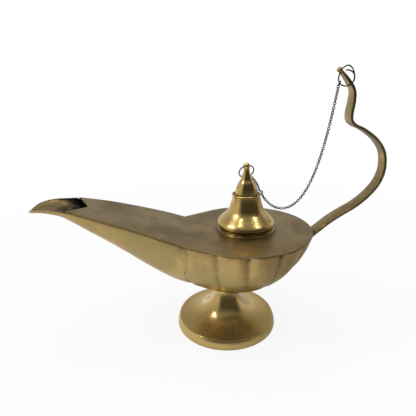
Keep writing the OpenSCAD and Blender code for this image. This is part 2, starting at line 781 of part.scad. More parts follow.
module chain_middle() {
    chain_part(links_hanging, links - links_on_stopper - 1);
}

module chain_lower() {
    chain_part(links - links_on_stopper, links - 1);
}

// Wick: a cotton cord from the mouth of the spout down into the oil

// Place, side shift and height above the spout's keel
wick_line = [
    [-150.5, 10.5, 7], [-147, 9, 5.6], [-141, 6.5, 4.6], [-132, 3.5, 4.1], [-120, 1.2, 4],
    [-106, 0, 4], [-90, 0, 4], [-75, 0, 4], [-60, 0, 4.6], [-50, 0, 6]
];

module wick() {
    inside_line = [[-41, 0, 64.5], [-32, 2, 64], [-23, 5, 60], [-14, 8, 54.5], [-4, 11, 52.9], [8, 13, 52.9]];
    line = concat(
        [for (p = wick_line) [p[0], p[1], smooth(beak, p[0], 3) + spout_wall + p[2]]],
        inside_line
    );
    steps = 60;
    cord = [for (i = [0:steps]) along(line, (len(line) - 1) * i / steps)];
    color("ivory") tube(cord, wick_r, 10, [0, 1, 0]);
}

foot();
foot_screw();
sealing_washer();
bowl();
spout();
top_plate();
neck_collar();
stopper_cap();
finial();
finial_ring();
chain_lower();
chain_middle();
chain_upper();
connector_ring();
handle_ring();
handle();
wick();
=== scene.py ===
"""Long-spouted brass oil lamp: the dressed model, its finishes and its stage."""

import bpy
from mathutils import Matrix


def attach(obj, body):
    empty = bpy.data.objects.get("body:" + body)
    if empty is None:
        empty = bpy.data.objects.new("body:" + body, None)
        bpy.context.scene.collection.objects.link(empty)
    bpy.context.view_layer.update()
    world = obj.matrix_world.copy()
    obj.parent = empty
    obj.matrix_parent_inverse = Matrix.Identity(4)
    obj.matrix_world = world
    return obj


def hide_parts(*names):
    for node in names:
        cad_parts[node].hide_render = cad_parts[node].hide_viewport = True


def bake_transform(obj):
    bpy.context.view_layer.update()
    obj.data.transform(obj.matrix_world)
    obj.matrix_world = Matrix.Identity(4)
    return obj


bl_info = {
    "name": "Brass Oil Lamp", "version": (1, 0, 0), "blender": (4, 5, 0),
    "location": "View3D > Sidebar > Oil Lamp",
    "description": "Builds a spouted brass oil lamp with a stopper, rings, chain and strap handle",
    "category": "Object",
}

import math

import bmesh
import bpy
from bpy.props import FloatProperty, FloatVectorProperty, PointerProperty
from mathutils import Matrix, Vector, noise

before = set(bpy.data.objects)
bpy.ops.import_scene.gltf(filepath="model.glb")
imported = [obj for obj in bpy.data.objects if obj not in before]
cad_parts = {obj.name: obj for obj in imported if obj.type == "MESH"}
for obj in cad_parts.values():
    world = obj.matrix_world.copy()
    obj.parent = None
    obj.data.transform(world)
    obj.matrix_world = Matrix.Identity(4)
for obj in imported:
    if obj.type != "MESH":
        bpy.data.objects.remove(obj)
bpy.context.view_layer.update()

MM = 0.001
UP = Vector((0, 0, 1))


# Sizes and colours that a user would change


def length(name, description, default):
    return FloatProperty(
        name=name, description=description, default=default * MM, unit="LENGTH", precision=4
    )


def colour(name, description, default):
    return FloatVectorProperty(
        name=name, description=description, default=default, subtype="COLOR", size=3, min=0.0,
        max=1.0,
    )


class LampSizes(bpy.types.PropertyGroup):
    foot_r: length("Foot radius", "Radius of the foot where it rests", 52.8)
    foot_rim_r: length("Rim edge", "Radius of the crisp edge at the top of the rim band", 50.4)
    foot_rim_h: length("Rim height", "Height of the foot's rim band", 9.5)
    bowl_r: length("Bowl radius", "Radius of the bowl's rim over the lobes", 66.0)
    bowl_floor_z: length("Bowl floor", "Height of the bowl's floor above the table", 47.0)
    bowl_x: length("Bowl offset", "From the foot's axis to the bowl's axis at the rim", 20.6)
    bowl_lean: length("Bowl lean", "How far the bowl's axis leans back to the foot", 15.0)
    bowl_wall: length("Bowl wall", "Thickness of the bowl's sheet", 1.6)
    plate_z: length("Plate height", "Upper face of the top plate above the table", 107.8)
    plate_r: length("Plate radius", "Radius of the top plate over the bowl", 66.45)
    plate_t: length("Plate thickness", "Thickness of the top plate", 1.2)
    fold_x: length("Plate fold", "Where the plate turns up along the spout", -42.4)
    notch_corner_x: length("Notch corners", "Corners of the notch at the plate's end", -150.4)
    notch_point_x: length("Notch point", "Inner point of the notch", -135.4)
    spout_wall: length("Spout wall", "Thickness of the spout's sheet", 1.4)
    plate_lap: length("Plate lap", "How far the plate overhangs the spout", 0.8)
    neck_rim_r: length("Neck rim", "Radius over the neck's rolled rim", 14.4)
    neck_h: length("Neck height", "Rolled rim above the plate", 36.1)
    plug_r: length("Plug radius", "Radius of the stopper's plug", 9.9)
    dome_r: length("Dome radius", "Radius of the stopper's dome", 11.2)
    ring_r: length("Finial ring", "Radius of the finial's ring to the middle of its wire", 7.5)
    handle_ring_r: length("Handle ring", "Radius of the handle's ring to its wire", 6.85)
    ring_wire_r: length("Ring wire", "Radius of the wire of both rings", 0.6)
    link_in: length("Link length", "Length inside one chain link", 2.25)
    link_gap: length("Link width", "Width inside one chain link", 1.45)
    link_wire_r: length("Link wire", "Radius of the chain's wire", 0.36)
    bar_w: length("Bar width", "Width of the handle's bar at its foot", 15.4)
    bar_t: length("Bar thickness", "Thickness of the handle's bar", 2.7)
    knob_r: length("Knob", "Radius of the knob at the bar's tip", 2.7)
    wick_r: length("Wick", "Radius of the cotton wick", 2.8)


class LampColours(bpy.types.PropertyGroup):
    bright: colour("Bright brass", "Rubbed brass on edges and high spots", (0.64, 0.46, 0.20))
    polished: colour("Polished brass", "Foot, neck and stopper", (0.58, 0.41, 0.145))
    body: colour("Body brass", "Bowl and spout", (0.56, 0.385, 0.145))
    body_pink: colour("Heat stain", "Pink and orange stains on the bowl", (0.50, 0.27, 0.12))
    body_green: colour("Olive stain", "Greenish film on the bowl", (0.36, 0.30, 0.125))
    plate: colour("Plate brass", "Dull top plate", (0.28, 0.20, 0.085))
    plate_dark: colour("Plate film", "Brown film on the plate", (0.17, 0.12, 0.052))
    bar: colour("Handle brass", "Handle's worn faces", (0.30, 0.22, 0.09))
    # Real tarnish in specks, films and stains, and also the colour of painted shade in recesses,
    # creases, under the plate's edge and in the neck's groove
    tarnish: colour("Tarnish", "Brown tarnish in recesses", (0.03, 0.02, 0.01))
    wire: colour("Dark wire", "Rings and chain", (0.06, 0.042, 0.028))
    # Soot on the wick's charred end, and painted shade inside the mouth beyond the notch
    soot: colour("Soot", "Soot in the spout's mouth", (0.012, 0.011, 0.01))
    cotton: colour("Cotton", "The wick's clean cotton", (0.62, 0.55, 0.42))
    steel: colour("Steel", "The foot's screw", (0.5, 0.49, 0.47))
    steel_dark: colour("Steel film", "Dull film on the screw", (0.3, 0.27, 0.24))
    fibre: colour("Fibre", "The sealing washer", (0.34, 0.12, 0.07))
    fibre_dark: colour("Fibre flecks", "Darker flecks in the washer", (0.24, 0.06, 0.035))
    floor: colour("Floor", "Pale floor under the lamp", (0.82, 0.82, 0.82))


def mm(name):
    """A size from the panel, in millimetres."""
    return getattr(bpy.context.scene.lamp_sizes, name) / MM


def tint(name):
    return tuple(getattr(bpy.context.scene.lamp_colours, name)) + (1.0,)


# Curves through a few measured points


def row_of(table, x):
    i = 0
    while i < len(table) - 2 and x >= table[i + 1][0]:
        i += 1
    return i


def slope_at(table, i, c):
    a, b = max(i - 1, 0), min(i + 1, len(table) - 1)
    return (table[b][c] - table[a][c]) / (table[b][0] - table[a][0])


def smooth(table, x, c):
    """Value of column c at x, on a smooth curve through the table's rows."""
    i = row_of(table, x)
    d = table[i + 1][0] - table[i][0]
    u = (x - table[i][0]) / d
    a, b = slope_at(table, i, c) * d, slope_at(table, i + 1, c) * d
    rise = table[i + 1][c] - table[i][c]
    return table[i][c] + a * u + (3 * rise - 2 * a - b) * u * u + (a + b - 2 * rise) * u**3


def along(points, u):
    """Point at index u on a smooth curve through points."""
    table = [(i,) + tuple(p) for i, p in enumerate(points)]
    return Vector([smooth(table, u, c) for c in range(1, len(table[0]))])


def eased(x):
    c = max(0.0, min(1.0, x))
    return c * c * (3 - 2 * c)


rad = math.radians


def cosd(a):
    return math.cos(rad(a))


def sind(a):
    return math.sin(rad(a))


# Mesh making, with points in millimetres


def new_object(name, verts, faces):
    mesh = bpy.data.meshes.new(name)
    mesh.from_pydata([tuple(c * MM for c in v) for v in verts], [], faces)
    obj = bpy.data.objects.new(name, mesh)
    bpy.context.scene.collection.objects.link(obj)
    return obj, mesh


def piece(name, shape, body, material, node, smooth_angle=40):
    """Visible piece from vertices and faces, riding a body and standing for a CAD node."""
    obj, mesh = new_object(name, *shape)
    mesh.validate()
    heal(mesh)
    shade(mesh, smooth_angle)
    mesh.materials.append(material)
    if body:
        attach(obj, body)
    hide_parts(node)
    return obj


def heal(mesh):
    bm = bmesh.new()
    bm.from_mesh(mesh)
    bmesh.ops.remove_doubles(bm, verts=bm.verts, dist=1e-6)
    bmesh.ops.recalc_face_normals(bm, faces=bm.faces)
    bm.to_mesh(mesh)
    bm.free()


def shade(mesh, angle):
    mesh.shade_smooth()
    mesh.set_sharp_from_angle(angle=rad(angle))


def settle(obj, angle=40):
    """Make the modifiers part of the mesh."""
    graph = bpy.context.evaluated_depsgraph_get()
    mesh = bpy.data.meshes.new_from_object(obj.evaluated_get(graph))
    obj.modifiers.clear()
    old = obj.data
    obj.data = mesh
    bpy.data.meshes.remove(old)
    shade(mesh, angle)


def round_edges(obj, width, limit=35, segments=2, angle=40):
    bevel = obj.modifiers.new("Rounded edges", "BEVEL")
    bevel.width = width * MM
    bevel.segments = segments
    bevel.limit_method = "ANGLE"
    bevel.angle_limit = rad(limit)
    settle(obj, angle)


def cut(obj, verts, faces, operation="DIFFERENCE"):
    """Boolean with a short-lived tool made of verts and faces."""
    tool, mesh = new_object("tool", verts, faces)
    heal(mesh)
    boolean = obj.modifiers.new("Cut", "BOOLEAN")
    boolean.operation = operation
    boolean.solver = "EXACT"
    boolean.object = tool
    settle(obj)
    bpy.data.objects.remove(tool)
    bpy.data.meshes.remove(mesh)


def thick_grid(outer, inner, is_open=lambda i, j: False, wrap=False):
    """Closed wall between two grids of points, without the cells that are open."""
    n, m = len(outer), len(outer[0])
    verts = [p for row in outer for p in row] + [p for row in inner for p in row]
    k = n * m
    cells = n if wrap else n - 1

    def there(i, j):
        if not 0 <= j < m - 1 or (not wrap and not 0 <= i < cells):
            return False
        return not is_open(i % n, j)

    faces = []
    for i in range(cells):
        for j in range(m - 1):
            if not there(i, j):
                continue
            a, b = i * m + j, ((i + 1) % n) * m + j
            c, d = b + 1, a + 1
            faces += [(a, b, c, d), (a + k, d + k, c + k, b + k)]
            for open_side, p, q in (
                (not there(i, j - 1), a, b), (not there(i + 1, j), b, c),
                (not there(i, j + 1), c, d), (not there(i - 1, j), d, a),
            ):
                if open_side:
                    faces.append((q, p, p + k, q + k))
    return verts, faces


def lathe(profile, centre=(0, 0), segments=192):
    """Turned solid from a closed outline of (radius, height)."""
    verts, rings = [], []
    for r, z in profile:
        if r < 1e-6:
            rings.append([len(verts)] * segments)
            verts.append((centre[0], centre[1], z))
        else:
            rings.append(list(range(len(verts), len(verts) + segments)))
            for s in range(segments):
                a = 2 * math.pi * s / segments
                verts.append((centre[0] + r * math.cos(a), centre[1] + r * math.sin(a), z))
    faces = []
    for i, low in enumerate(rings):
        high = rings[(i + 1) % len(rings)]
        for s in range(segments):
            t = (s + 1) % segments
            corners = []
            for v in (low[s], low[t], high[t], high[s]):
                if v not in corners:
                    corners.append(v)
            if len(corners) > 2:
                faces.append(tuple(corners))
    return verts, faces


def raised(profile, height):
    return [(r, z + height) for r, z in profile]


def run_of(table, steps, ease=1.0):
    """Points (radius, height) up a smooth curve through a table of heights and radii."""
    low, high = table[0][0], table[-1][0]
    heights = [low + (high - low) * (k / steps) ** ease for k in range(steps + 1)]
    return [(smooth(table, z, 1), z) for z in heights]


def eased_corners(profile, radius, steps=3, closed=True):
    """Outline with each corner rounded by about the given radius."""
    out = []
    n = len(profile)
    for i, p in enumerate(profile):
        a, b, c = Vector(profile[i - 1]), Vector(p), Vector(profile[(i + 1) % n])
        if (not closed and i in (0, n - 1)) or p[0] < 1e-6:
            out.append(tuple(p))
            continue
        into, onto = b - a, c - b
        if into.length < 1e-6 or onto.length < 1e-6 or into.angle(onto) < rad(18):
            out.append(tuple(p))
            continue
        cutback = min(radius, 0.45 * into.length, 0.45 * onto.length)
        start, end = b - into.normalized() * cutback, b + onto.normalized() * cutback
        for s in range(steps + 1):
            t = s / steps
            q = start * (1 - t) ** 2 + b * 2 * t * (1 - t) + end * t * t
            out.append((q[0], q[1]))
    return out


def sleeve(rings, sides, closed=False):
    """Faces round a run of rings that have the same number of points."""
    faces = []
    for i in range(rings if closed else rings - 1):
        j = (i + 1) % rings
        for k in range(sides):
            l = (k + 1) % sides
            faces.append((i * sides + k, i * sides + l, j * sides + l, j * sides + k))
    return faces


def tube(path, radius, sides, up, closed=False, round_ends=True):
    """Round wire along a path, a closed loop or with two ends."""
    n = len(path)
    verts, faces = [], sleeve(n, sides, closed)
    for i, p in enumerate(path):
        a = path[(i - 1) % n] if closed else path[max(i - 1, 0)]
        b = path[(i + 1) % n] if closed else path[min(i + 1, n - 1)]
        t = (b - a).normalized()
        side = t.cross(up).normalized()
        top = side.cross(t)
        for k in range(sides):
            w = 2 * math.pi * k / sides
            verts.append(p + (side * math.cos(w) + top * math.sin(w)) * radius)
    if not closed:
        for end, way in ((0, -1), (n - 1, 1)):
            base = end * sides
            t = (path[end] - path[end - way]).normalized()
            last = [base + k for k in range(sides)]
            if round_ends:
                for lift, scale in ((0.5, 0.86), (0.86, 0.5)):
                    ring = []
                    for k in range(sides):
                        spoke = verts[base + k] - path[end]
                        verts.append(path[end] + spoke * scale + t * radius * lift)
                        ring.append(len(verts) - 1)
                    for k in range(sides):
                        l = (k + 1) % sides
                        faces.append((last[k], last[l], ring[l], ring[k]))
                    last = ring
                verts.append(path[end] + t * radius)
            else:
                verts.append(path[end].copy())
            for k in range(sides):
                faces.append((last[k], last[(k + 1) % sides], len(verts) - 1))
    return verts, faces


def beaten(p, amount, size, seed=0.0):
    """Gentle unevenness of hand-worked sheet at point p, in millimetres."""
    q = Vector(p) / size + Vector((seed, seed * 1.7, seed * 0.6))
    return amount * (noise.noise(q) + 0.5 * noise.noise(q * 2.1))


# Shapes of the lamp's sheet parts


LOBES = 11
LOBE_DEPTH = 0.055
# Half the bowl's angle that has lobes, from the handle round to the spout's seam
SEAM_ANGLE = 150.0
LOBE_ANGLE = 2 * SEAM_ANGLE / LOBES
# Share of half a lobe over which a crease is rounded
CREASE_SOFT = 0.13
# Angle from which the bowl widens towards the spout
FLARE_ANGLE = 120.0
# Fullness of the bowl's profile, and profile angle up to which its floor is flat
BOWL_FULL = 0.8
FLAT_U = 11.0
# Radius of the plate's bend along the spout, and its slope at the fold
PLATE_BEND_R = 810.0
FOLD_ANGLE = 20.4
# Place along the spout, half width and height of its edge, height of its keel
BEAK = [
    (-192.6, 0.7, 133.4, 132.2), (-191.4, 5.4, 134.9, 132.3), (-188.4, 10.6, 137.0, 132.6),
    (-184.4, 14.6, 138.3, 133.2), (-179.4, 17.6, 139.1, 133.9), (-174.4, 19.4, 139.5, 133.9),
    (-168, 20.5, 139.6, 132.8), (-160, 21.0, 139.4, 129.6), (-150, 21.9, 139.2, 123.4),
    (-139, 24.0, 137.1, 115.8), (-120, 28.4, 132.5, 103.0), (-100, 31.2, 126.7, 88.6),
    (-80, 34.4, 120.2, 74.0), (-60, 37.6, 113.0, 60.6), (-42.4, 39.2, 106.6, 52.6),
    (-20, 40.5, 106.6, 47.4),
]


def crease_share(plane):
    """0 on a lobe's crest, near 1 in the rounded creases beside it."""
    s = 1.0
    if plane < SEAM_ANGLE:
        s = abs(2 * (plane / LOBE_ANGLE - round(plane / LOBE_ANGLE)))
    edge = 1 - CREASE_SOFT
    if s < edge:
        return 0.5 * s * s + 0.5 * s**4
    slope = edge + 2 * edge**3
    deepest = 0.5 * edge * edge + 0.5 * edge**4 + slope * CREASE_SOFT / 2
    return deepest - slope * (1 - s) ** 2 / (2 * CREASE_SOFT)


def flare(a):
    if a <= FLARE_ANGLE:
        return 1.0
    if a <= SEAM_ANGLE:
        return 1 / cosd(a - FLARE_ANGLE)
    return cosd(SEAM_ANGLE) / (cosd(SEAM_ANGLE - FLARE_ANGLE) * cosd(a))


def lean_share(u):
    return mm("bowl_lean") / mm("bowl_r") * cosd(u)


def section_angle(plane, u):
    """Angle in the leaning section at u, of the upright plane that a crease lies in."""
    return plane - math.degrees(math.asin(lean_share(u) * sind(plane)))


def plane_angle(a, u):
    plane = a
    for _ in range(3):
        plane = a + math.degrees(math.asin(lean_share(u) * sind(plane)))
    return plane


def bowl_reach(a, plane, u):
    s = sind(u)
    return s**BOWL_FULL * flare(a) * (1 - LOBE_DEPTH * s * crease_share(plane))


def bowl_axis(u):
    return mm("bowl_x") - mm("bowl_lean") * cosd(u)


def rim_z():
    return mm("plate_z") - mm("plate_t")


def bowl_point(angle, u, thin):
    plane = 360 - angle if angle > 180 else angle
    a = section_angle(plane, u)
    r = (mm("bowl_r") - thin) * bowl_reach(a, plane, u)
    floor = mm("bowl_floor_z") + thin
    if u >= 90:
        z = rim_z()
    elif u > FLAT_U:
        z = floor + (rim_z() - floor) * (1 - cosd(u))
    else:
        z = floor
    y = r * sind(a) * (-1 if angle > 180 else 1)
    return Vector((bowl_axis(u) + r * cosd(a), y, z))


def outside_bowl(p):
    """How far outside the bowl a point lies."""
    floor = mm("bowl_floor_z")
    u = math.degrees(math.acos(max(0.0, min(1.0, 1 - (p[2] - floor) / (rim_z() - floor)))))
    dx = p[0] - bowl_axis(u)
    a = abs(math.degrees(math.atan2(p[1], dx)))
    return math.hypot(dx, p[1]) - mm("bowl_r") * bowl_reach(a, plane_angle(a, u), max(u, 2.0))


def plate_bend_centre():
    """Middle of the arc that the plate follows along the spout, as x and z."""
    x = mm("fold_x") - PLATE_BEND_R * sind(FOLD_ANGLE)
    return x, mm("plate_z") - PLATE_BEND_R * cosd(FOLD_ANGLE)


def plate_top(x):
    """Upper face of the plate at x: flat over the bowl, bent up along the spout."""
    fold = mm("fold_x")
    if x >= fold:
        return mm("plate_z")
    centre_x, centre_z = plate_bend_centre()
    return centre_z + math.sqrt(PLATE_BEND_R**2 - (x - centre_x) ** 2)


def spout_point(x, a, thin):
    if x < mm("notch_corner_x"):
        top = smooth(BEAK, x, 2)
    else:
        top = plate_top(x) - mm("plate_t") - 0.15
    w = max(smooth(BEAK, x, 1) - thin, 0.25)
    keel = min(smooth(BEAK, x, 3) + thin, top - 0.3)
    return Vector((x, -w * cosd(a), top - (top - keel) * sind(a)))


def seam_x(a, thin, gap=-0.45):
    low, high = -70.0, -18.0
    for _ in range(22):
        mid = (low + high) / 2
        if outside_bowl(spout_point(mid, a, thin)) > gap:
            low = mid
        else:
            high = mid
    return low


# Shader groups that several finishes share


# Height of the marks in the bump, in metres
BUMP_DEPTH = 0.0004


def new_group(name, inputs, outputs):
    """Shader group; an input without a default is a place, all others are numbers."""
    group = bpy.data.node_groups.new(name, "ShaderNodeTree")
    for label, default in inputs.items():
        kind = "NodeSocketVector" if default is None else "NodeSocketFloat"
        socket = group.interface.new_socket(label, in_out="INPUT", socket_type=kind)
        if default is not None:
            socket.default_value = default
    for label in outputs:
        group.interface.new_socket(label, in_out="OUTPUT", socket_type="NodeSocketFloat")
    given, out = group.nodes.new("NodeGroupInput"), group.nodes.new("NodeGroupOutput")
    return Wiring(group), given.outputs, out.inputs


class Wiring:
    """Short calls for the nodes that the finishes are made of."""

    def __init__(self, tree):
        self.tree = tree

    def add(self, kind, **values):
        node = self.tree.nodes.new(kind)
        for key, value in values.items():
            setattr(node, key, value)
        return node

    def put(self, value, socket):
        if isinstance(value, bpy.types.NodeSocket):
            self.tree.links.new(value, socket)
        else:
            socket.default_value = value

    def fill(self, node, values):
        for key, value in values.items():
            self.put(value, node.inputs[key])
        return node.outputs

    def math(self, operation, a, b=0.0, clamp=False):
        node = self.add("ShaderNodeMath", operation=operation, use_clamp=clamp)
        return self.fill(node, {0: a, 1: b})[0]

    def times(self, a, b, clamp=False):
        return self.math("MULTIPLY", a, b, clamp)

    def plus(self, a, b):
        return self.math("ADD", a, b)

    def minus(self, a, b, clamp=False):
        return self.math("SUBTRACT", a, b, clamp)

    def most(self, a, b):
        return self.math("MAXIMUM", a, b)

    def noise(self, vector, scale, detail=3.0, rough=0.55, distortion=0.0):
        values = {"Vector": vector, "Scale": scale, "Detail": detail}
        values.update({"Roughness": rough, "Distortion": distortion})
        return self.fill(self.add("ShaderNodeTexNoise"), values)["Fac"]

    def spread(self, value, low, high, to_low=0.0, to_high=1.0):
        node = self.add("ShaderNodeMapRange", interpolation_type="SMOOTHSTEP")
        values = {"Value": value, "From Min": low, "From Max": high}
        values.update({"To Min": to_low, "To Max": to_high})
        return self.fill(node, values)["Result"]

    def mix(self, fac, a, b, blend="MIX"):
        node = self.add("ShaderNodeMix", data_type="RGBA", blend_type=blend)
        return self.fill(node, {0: fac, 6: a, 7: b})[2]

    def group(self, name, **values):
        node = self.add("ShaderNodeGroup", node_tree=bpy.data.node_groups[name])
        return self.fill(node, {key.replace("_", " "): v for key, v in values.items()})

    def place(self):
        return self.add("ShaderNodeTexCoord").outputs["Object"]

    def scaled(self, vector, scale):
        node = self.add("ShaderNodeMapping")
        return self.fill(node, {"Vector": vector, "Scale": scale})["Vector"]

    def split(self, vector):
        return self.fill(self.add("ShaderNodeSeparateXYZ"), {0: vector})

    def seen(self):
        """Outputs of a Light Path node, and 1 for rays from the camera, also through glass."""
        rays = self.add("ShaderNodeLightPath").outputs
        return rays, self.most(rays["Is Camera Ray"], rays["Is Transmission Ray"])

    def layered(self, surface, layers, output):
        """Blend other lights over a surface, each by its share."""
        for share, light in layers:
            node = self.add("ShaderNodeMixShader")
            surface = self.fill(node, {0: share, 1: surface, 2: light.outputs[0]})[0]
        self.put(surface, output.inputs["Surface"])

    def bumped(self, height, strength, shader):
        node = self.add("ShaderNodeBump")
        values = {"Strength": strength, "Distance": BUMP_DEPTH, "Height": height}
        self.put(self.fill(node, values)[0], shader.inputs["Normal"])


def make_tarnish_group():
    """Clouds of tarnish: a soft film, smaller blotches and fine specks."""
    inputs = {"Place": None, "Size": 1.0, "Film": 0.5, "Blotches": 0.5, "Specks": 0.3}
    w, given, out = new_group("Tarnish", inputs, ("Film", "Blotches", "Specks"))
    place = given["Place"]
    large, middle, small = (w.times(given["Size"], scale) for scale in (28.0, 90.0, 620.0))
    film = w.spread(w.noise(place, large, 4.0, 0.6, 0.4), 0.36, 0.66)
    blotches = w.spread(w.noise(place, middle, 5.0, 0.65, 0.8), 0.5, 0.68)
    specks = w.spread(w.noise(place, small, 3.0, 0.6), 0.62, 0.74)
    for key, mask in (("Film", film), ("Blotches", blotches), ("Specks", specks)):
        w.put(w.times(mask, given[key]), out[key])


def make_edge_group():
    """Rubbed edges, and recesses found by ambient occlusion, where tarnish and painted shade go."""
    inputs = {"Place": None, "Edge width": 0.0006, "Recess reach": 0.006}
    w, given, out = new_group("Edges and recesses", inputs, ("Rubbed", "Recess"))
    bevel = w.fill(w.add("ShaderNodeBevel", samples=6), {"Radius": given["Edge width"]})[0]
    normal = w.add("ShaderNodeNewGeometry").outputs["Normal"]
    dot = w.add("ShaderNodeVectorMath", operation="DOT_PRODUCT")
    turned = w.minus(1.0, w.fill(dot, {0: bevel, 1: normal})["Value"])
    chips = w.spread(w.noise(given["Place"], 260.0, 3.0), 0.3, 0.6, 0.35, 1.0)
    dark = w.add("ShaderNodeAmbientOcclusion", samples=8)
    recess = w.spread(w.fill(dark, {"Distance": given["Recess reach"]})["AO"], 0.85, 0.25)
    rough = w.spread(w.noise(given["Place"], 150.0, 4.0), 0.3, 0.7, 0.6, 1.0)
    inner = w.minus(1.0, w.times(recess, 1.4, clamp=True))
    rubbed = w.times(w.spread(turned, 0.015, 0.16), inner)
    w.put(w.times(rubbed, chips), out["Rubbed"])
    w.put(w.times(recess, rough), out["Recess"])


def make_turning_group():
    """Fine rings left by the lathe, about an upright axis at X."""
    inputs = {"Place": None, "Axis X": 0.0, "Pitch": 900.0}
    w, given, out = new_group("Turning marks", inputs, ("Height",))
    x, y, z = w.split(given["Place"])[0:3]
    dx = w.minus(x, given["Axis X"])
    radius = w.math("SQRT", w.plus(w.times(dx, dx), w.times(y, y)))
    reach = w.plus(radius, w.times(z, 1.6))
    join = w.fill(w.add("ShaderNodeCombineXYZ"), {0: w.times(reach, given["Pitch"])})
    w.put(w.noise(join[0], 1.0, 4.0, 0.7), out["Height"])


def make_handling_group():
    """Fine scratches in all directions, and soft dents of worked sheet."""
    inputs = {"Place": None, "Scratches": 0.5, "Dents": 0.5}
    w, given, out = new_group("Handling marks", inputs, ("Height", "Scratches"))
    place, total = given["Place"], None
    for stretch in ((900, 60, 90), (70, 800, 110), (500, 420, 60)):
        thin = w.spread(w.noise(w.scaled(place, stretch), 1.0, 2.0, 0.5, 0.25), 0.60, 0.72)
        total = thin if total is None else w.most(total, thin)
    scratches = w.times(total, given["Scratches"])
    dents = w.times(w.noise(place, 55.0, 2.0, 0.4), given["Dents"])
    w.put(w.minus(dents, w.times(scratches, 0.12)), out["Height"])
    w.put(scratches, out["Scratches"])


GROUP_MAKERS = {
    "Tarnish": make_tarnish_group, "Edges and recesses": make_edge_group,
    "Turning marks": make_turning_group, "Handling marks": make_handling_group,
}


def new_material(name):
    for group, make in GROUP_MAKERS.items():
        if group not in bpy.data.node_groups:
            make()
    material = bpy.data.materials.new(name)
    material.use_nodes = True
    tree = material.node_tree
    shader = tree.nodes["Principled BSDF"]
    return material, Wiring(tree), shader


def brass(name, clean, film, stain, roughness, spread, **looks):
    """Brass with a film of tarnish, rubbed edges, recesses darkened with tarnish and painted shade,
    and handling marks.
    """
    if name in bpy.data.materials:
        return bpy.data.materials[name]
    material, w, shader = new_material(name)
    place, look = w.place(), looks.get
    clouds = w.group(
        "Tarnish", Place=place, Size=look("size", 1.0), Film=look("film_amount", 0.7),
        Blotches=look("blotches", 0.4), Specks=look("specks", 0.3),
    )
    edges = w.group(
        "Edges and recesses", Place=place, Edge_width=look("edge_width", 0.0006),
        Recess_reach=look("recess_reach", 0.006),
    )
    marks = w.group(
        "Handling marks", Place=place, Scratches=look("scratches", 0.5), Dents=look("dents", 0.4)
    )
    base = tint(clean)
    for mask, colour_name in (("Film", film), ("Blotches", stain), ("Specks", "tarnish")):
        base = w.mix(clouds[mask], base, tint(colour_name))
    # Recesses darkened: tarnish, and painted shade under overhangs and between parts
    recess = w.times(edges["Recess"], look("recess", 0.8))
    base = w.mix(recess, base, tint("tarnish"))
    rubbed = w.times(edges["Rubbed"], look("rubbed", 0.7))
    base = w.mix(rubbed, base, tint("bright"))
    if "extra" in looks:
        base = looks["extra"](w, place, base)
    w.put(base, shader.inputs["Base Color"])
    rough = w.plus(roughness, w.times(clouds["Film"], spread))
    for mask, share in ((clouds["Blotches"], spread), (recess, 0.3), (marks["Scratches"], 0.08)):
        rough = w.plus(rough, w.times(mask, share))
    rough = w.minus(rough, w.times(rubbed, 0.12), clamp=True)
    w.put(rough, shader.inputs["Roughness"])
    shader.inputs["Specular Tint"].default_value = (*look("edge_tint", (1, 1, 1)), 1)
    shader.inputs["Metallic"].default_value = look("metallic", 1.0)
    height = marks["Height"]
    if "axis_x" in looks:
        pitch = look("pitch", 900.0)
        turned = w.group("Turning marks", Place=place, Axis_X=looks["axis_x"], Pitch=pitch)
        height = w.plus(height, w.times(turned["Height"], look("turning", 0.2)))
    w.bumped(height, look("bump", 0.35), shader)
    return material


def polished_brass(name="Polished brass", axis_x=0.0, **more):
    """Turned brass; axis_x is the place of the lathe's axis in metres."""
    looks = dict(axis_x=axis_x, film_amount=0.45, blotches=0.16, specks=0.12, rubbed=0.25)
    looks.update(recess=0.8, bump=0.12)
    looks.update(more)
    return brass(name, "polished", "body", "body_green", 0.2, 0.14, **looks)


def soot_and_shade_inside(from_x, to_x):
    """Soot and painted shade on the mouth's inner face, near black from the notch inward and
    thinning out towards the beak's tip.
    """

    def darken(w, place, base):
        x = w.split(place)[0]
        ragged = w.times(w.noise(place, 120.0, 4.0), 0.03)
        near = w.spread(w.plus(x, ragged), from_x, to_x)
        # Painted shade and soot: near black inside, under the plate
        return w.mix(w.times(near, 0.97), base, tint("soot"))

    return darken


def painted_crease_shade(w, place, base):
    """Painted shade: darkening in the lobes' creases, a dark line under the plate's edge, and a
    darker lower bowl for a reflected shadow.
    """
    x, y, z = w.split(place)
    out = w.minus(x, mm("bowl_x") * MM)
    plane = w.math("ARCTAN2", w.math("ABSOLUTE", y), out)
    s = w.math("PINGPONG", w.times(plane, 2 / rad(LOBE_ANGLE)), 1.0)
    on_lobes = w.spread(plane, rad(SEAM_ANGLE + 3), rad(SEAM_ANGLE - 3))
    ragged = w.times(w.minus(w.noise(place, 160.0, 4.0), 0.5), 0.5)
    # Painted shade in the creases, stronger near the rim where the plate overhangs
    crease = w.times(w.spread(w.plus(s, ragged), 0.72, 1.1), on_lobes)
    top = w.spread(z, (rim_z() - 9) * MM, (rim_z() - 0.5) * MM)
    # Distance below the plate, which follows its bend along the spout
    centre_x, centre_z = plate_bend_centre()
    past = w.minus(x, centre_x * MM)
    bent = w.minus((PLATE_BEND_R * MM) ** 2, w.times(past, past))
    bent = w.plus(w.math("SQRT", bent), centre_z * MM)
    gap = w.minus(w.most(bent, mm("plate_z") * MM), z)
    # Painted shadow line just under the plate's edge
    line = w.spread(w.plus(gap, w.times(ragged, 0.004)), 0.0014, 0.0036, 1.3, 0.0)
    # Painted shade on the lower bowl, away from the spout
    under = w.spread(w.plus(z, w.times(ragged, 0.012)), 0.058, 0.05, 0.0, 0.55)
    shade = w.times(crease, w.plus(w.times(top, 0.6), 0.36))
    shade = w.most(shade, w.times(line, 0.62))
    shade = w.most(shade, w.times(under, w.spread(out, -0.08, -0.06)))
    return w.mix(shade, base, tint("tarnish"))


